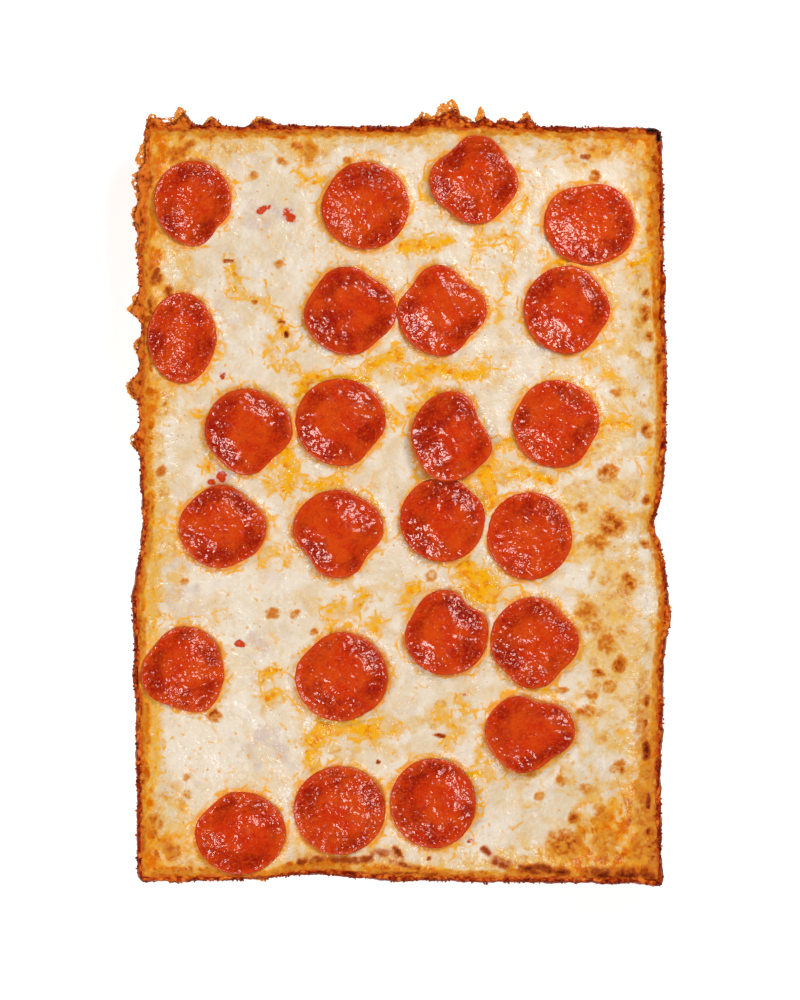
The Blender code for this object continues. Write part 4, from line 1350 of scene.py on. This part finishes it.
class PIZZA_OT_lace(bpy.types.Operator):
    """Hangs thin lace of fried cheese on the crest, full of holes"""

    bl_idname = "pizza.lace"
    bl_label = "Fried lace"

    # Side of a cell of the sheet, and which way of the fan the lace hangs on
    STEP = 0.42 * MM
    FAN_STEP = 2
    OUT = {"top": (0, 1), "bottom": (0, -1), "left": (-1, 0), "right": (1, 0)}

    def execute(self, context):
        look = context.scene.pizza_crust
        walk = CrustWalk(look.stations)
        crest = walk.wall()[len(walk.LEVELS) + self.FAN_STEP]
        points, faces = [], []
        for number, (side, first, last, reach) in enumerate(LACE):
            self.strip(crest, side, first, last, reach * PIXEL, number, points, faces)
        web = bpy.data.meshes.new("web")
        web.from_pydata(points, [], faces)
        finish = lace_finish(look)
        place_piece("lace_crumbs", self.crumbs(web, look, finish), finish)
        place_piece("fried_lace", thickened(web, look.lace), finish)
        return {"FINISHED"}

    def crumbs(self, web, look, finish):
        """Crisp lumps scattered over the lace."""
        grower = Grower("crumbs", "Density")
        given = grower.given
        inputs = {"Mesh": given["Geometry"], "Density": given["Density"], "Seed": given["Seed"]}
        points = grower.add("GeometryNodeDistributePointsOnFaces", inputs).outputs["Points"]
        grower.scatter(points, (0.4, 0.4, 0.4), (1.15, 1.15, 1.15), 7, finish)
        return grower.grow(web, {"Density": look.crumbs, "Radius": look.bead, "Seed": 4})

    def strip(self, crest, side, first, last, reach, number, points, faces):
        """One tuft: a leaning sheet whose cells are open, so that a web is left."""
        axis = 0 if side in ("top", "bottom") else 1
        start, end = sorted(spot((pixel, pixel))[axis] for pixel in (first, last))
        out = self.OUT[side]
        far = crest[:, 1 - axis] * out[1 - axis]
        mine = (crest[:, axis] > start) & (crest[:, axis] < end) & (far > 0.8 * far.max())
        order = np.argsort(crest[mine][:, axis])
        line = crest[mine][order]
        columns = max(round((end - start) / self.STEP), 4)
        rows = max(round(1.25 * reach / self.STEP), 4)
        at = np.linspace(start, end, columns + 1)
        root = np.stack([np.interp(at, line[:, axis], line[:, k]) for k in range(3)], -1)
        u = np.linspace(0, 1, columns + 1)[:, None]
        v = np.linspace(0, 1, rows + 1)[None, :]
        ragged = lumps(flat_points(at[:, None], 0 * at[:, None]), 3.4 * MM, 50 + number)
        outline = np.sqrt(np.clip(np.sin(math.pi * u), 0, 1)) * (0.75 + 0.45 * ragged)
        outline = np.clip(outline, 0.05, 1.2)
        lean = reach * v * outline
        rise = 0.55 * reach * v * outline
        sheet = np.repeat(root[:, None, :], rows + 1, 1)
        sheet[..., 0] += out[0] * (lean - 0.8 * MM)
        sheet[..., 1] += out[1] * (lean - 0.8 * MM)
        sheet[..., 2] += rise - 0.6 * MM
        curl = lumps(sheet, 3 * MM, 60) * v
        sheet[..., 2] += 0.9 * MM * curl
        index = len(points)
        points.extend(sheet.reshape(-1, 3).tolist())
        centres = (sheet[:-1, :-1] + sheet[1:, 1:]) / 2
        places = (centres / (2.2 * MM)).reshape(-1, 3).tolist()
        web = np.array([noise.voronoi(place)[0][:2] for place in places])
        gap = (web[:, 1] - web[:, 0]).reshape(columns, rows)
        height = (v[:, :-1] + v[:, 1:]) / 2
        keep = (gap < 0.45) | (height < 0.3)
        flip = side in ("top", "left")
        for column in range(columns):
            for row in range(rows):
                if keep[column, row]:
                    low = index + column * (rows + 1) + row
                    face = (low, low + rows + 1, low + rows + 2, low + 1)
                    faces.append(face[::-1] if flip else face)


class PIZZA_OT_stage(bpy.types.Operator):
    """Sets the pale floor, the two soft lamps and the camera that looks straight down"""

    bl_idname = "pizza.stage"
    bl_label = "Stage"

    CHEESE_LEVEL = 27 * MM
    LAMP_HEIGHT = math.radians(50)
    KEY_WAY = math.radians(48)
    FILL_WAY = math.radians(228)
    FLOOR_HALF = 6.0

    def execute(self, context):
        look = context.scene.pizza_stage
        scene = context.scene
        self.floor(look)
        self.lamp("key lamp", self.KEY_WAY, look.key, look)
        self.lamp("fill lamp", self.FILL_WAY, look.fill, look)
        world = bpy.data.worlds.new("soft light")
        world.use_nodes = True
        sky = world.node_tree.nodes["Background"].inputs
        sky["Color"].default_value = (1, 1, 1, 1)
        sky["Strength"].default_value = look.sky
        scene.world = world
        camera = bpy.data.cameras.new("camera")
        camera.lens = look.lens
        camera.sensor_width = look.sensor
        holder = bpy.data.objects.new("camera", camera)
        scene.collection.objects.link(holder)
        x, y = spot((PHOTO_SIZE[0] / 2, PHOTO_SIZE[1] / 2))
        distance = PHOTO_SIZE[1] * PIXEL * look.lens / look.sensor
        holder.location = (x, y, self.CHEESE_LEVEL + distance)
        scene.camera = holder
        scene.view_settings.view_transform = "Standard"
        return {"FINISHED"}

    def floor(self, look):
        mesh = bpy.data.meshes.new("floor")
        half = self.FLOOR_HALF
        corners = [(-half, -half, 0), (half, -half, 0), (half, half, 0), (-half, half, 0)]
        mesh.from_pydata(corners, [], [(0, 1, 2, 3)])
        made = Finish("floor", look, "floor")
        finish = made.done(Roughness=0.9, Emission_Color=made.base, Emission_Strength=look.glow)
        mesh.materials.append(finish)
        floor = bpy.data.objects.new("floor", mesh)
        bpy.context.scene.collection.objects.link(floor)

    def lamp(self, name, direction, power, look):
        light = bpy.data.lights.new(name, "AREA")
        light.shape = "SQUARE"
        light.size = look.lamp_size
        light.energy = power
        holder = bpy.data.objects.new(name, light)
        flat = math.cos(self.LAMP_HEIGHT)
        way = Vector((math.cos(direction) * flat, math.sin(direction) * flat, math.sin(self.LAMP_HEIGHT)))
        holder.location = way * look.lamp_distance
        holder.rotation_mode = "QUATERNION"
        holder.rotation_quaternion = way.to_track_quat("Z", "Y")
        bpy.context.scene.collection.objects.link(holder)


class PIZZA_PT_panel(bpy.types.Panel):
    """Lists the pizza's looks and the steps that make it"""

    bl_idname = "PIZZA_PT_panel"
    bl_label = "Pepperoni pan pizza"
    bl_space_type = "VIEW_3D"
    bl_region_type = "UI"
    bl_category = "Pizza"

    def draw(self, context):
        for step in STEPS:
            self.layout.operator(step.bl_idname)
        for name, group in GROUPS.items():
            box = self.layout.box()
            box.label(text=group.__doc__)
            for key in group.__annotations__:
                box.prop(getattr(context.scene, name), key)


GROUPS = {
    "pizza_cheese": CheeseLook,
    "pizza_slice": SliceLook,
    "pizza_crust": CrustLook,
    "pizza_stage": StageLook,
}
STEPS = (PIZZA_OT_crust, PIZZA_OT_beads, PIZZA_OT_lace, PIZZA_OT_cheese, PIZZA_OT_slices, PIZZA_OT_stage)


def register():
    for kind in (*GROUPS.values(), *STEPS, PIZZA_PT_panel):
        bpy.utils.register_class(kind)
    for name, group in GROUPS.items():
        setattr(bpy.types.Scene, name, bpy.props.PointerProperty(type=group))


def unregister():
    for name in GROUPS:
        delattr(bpy.types.Scene, name)
    for kind in reversed((*GROUPS.values(), *STEPS, PIZZA_PT_panel)):
        bpy.utils.unregister_class(kind)


def main():
    register()
    for step in STEPS:
        family, name = step.bl_idname.split(".")
        getattr(getattr(bpy.ops, family), name)()


if __name__ == "__main__":
    main()
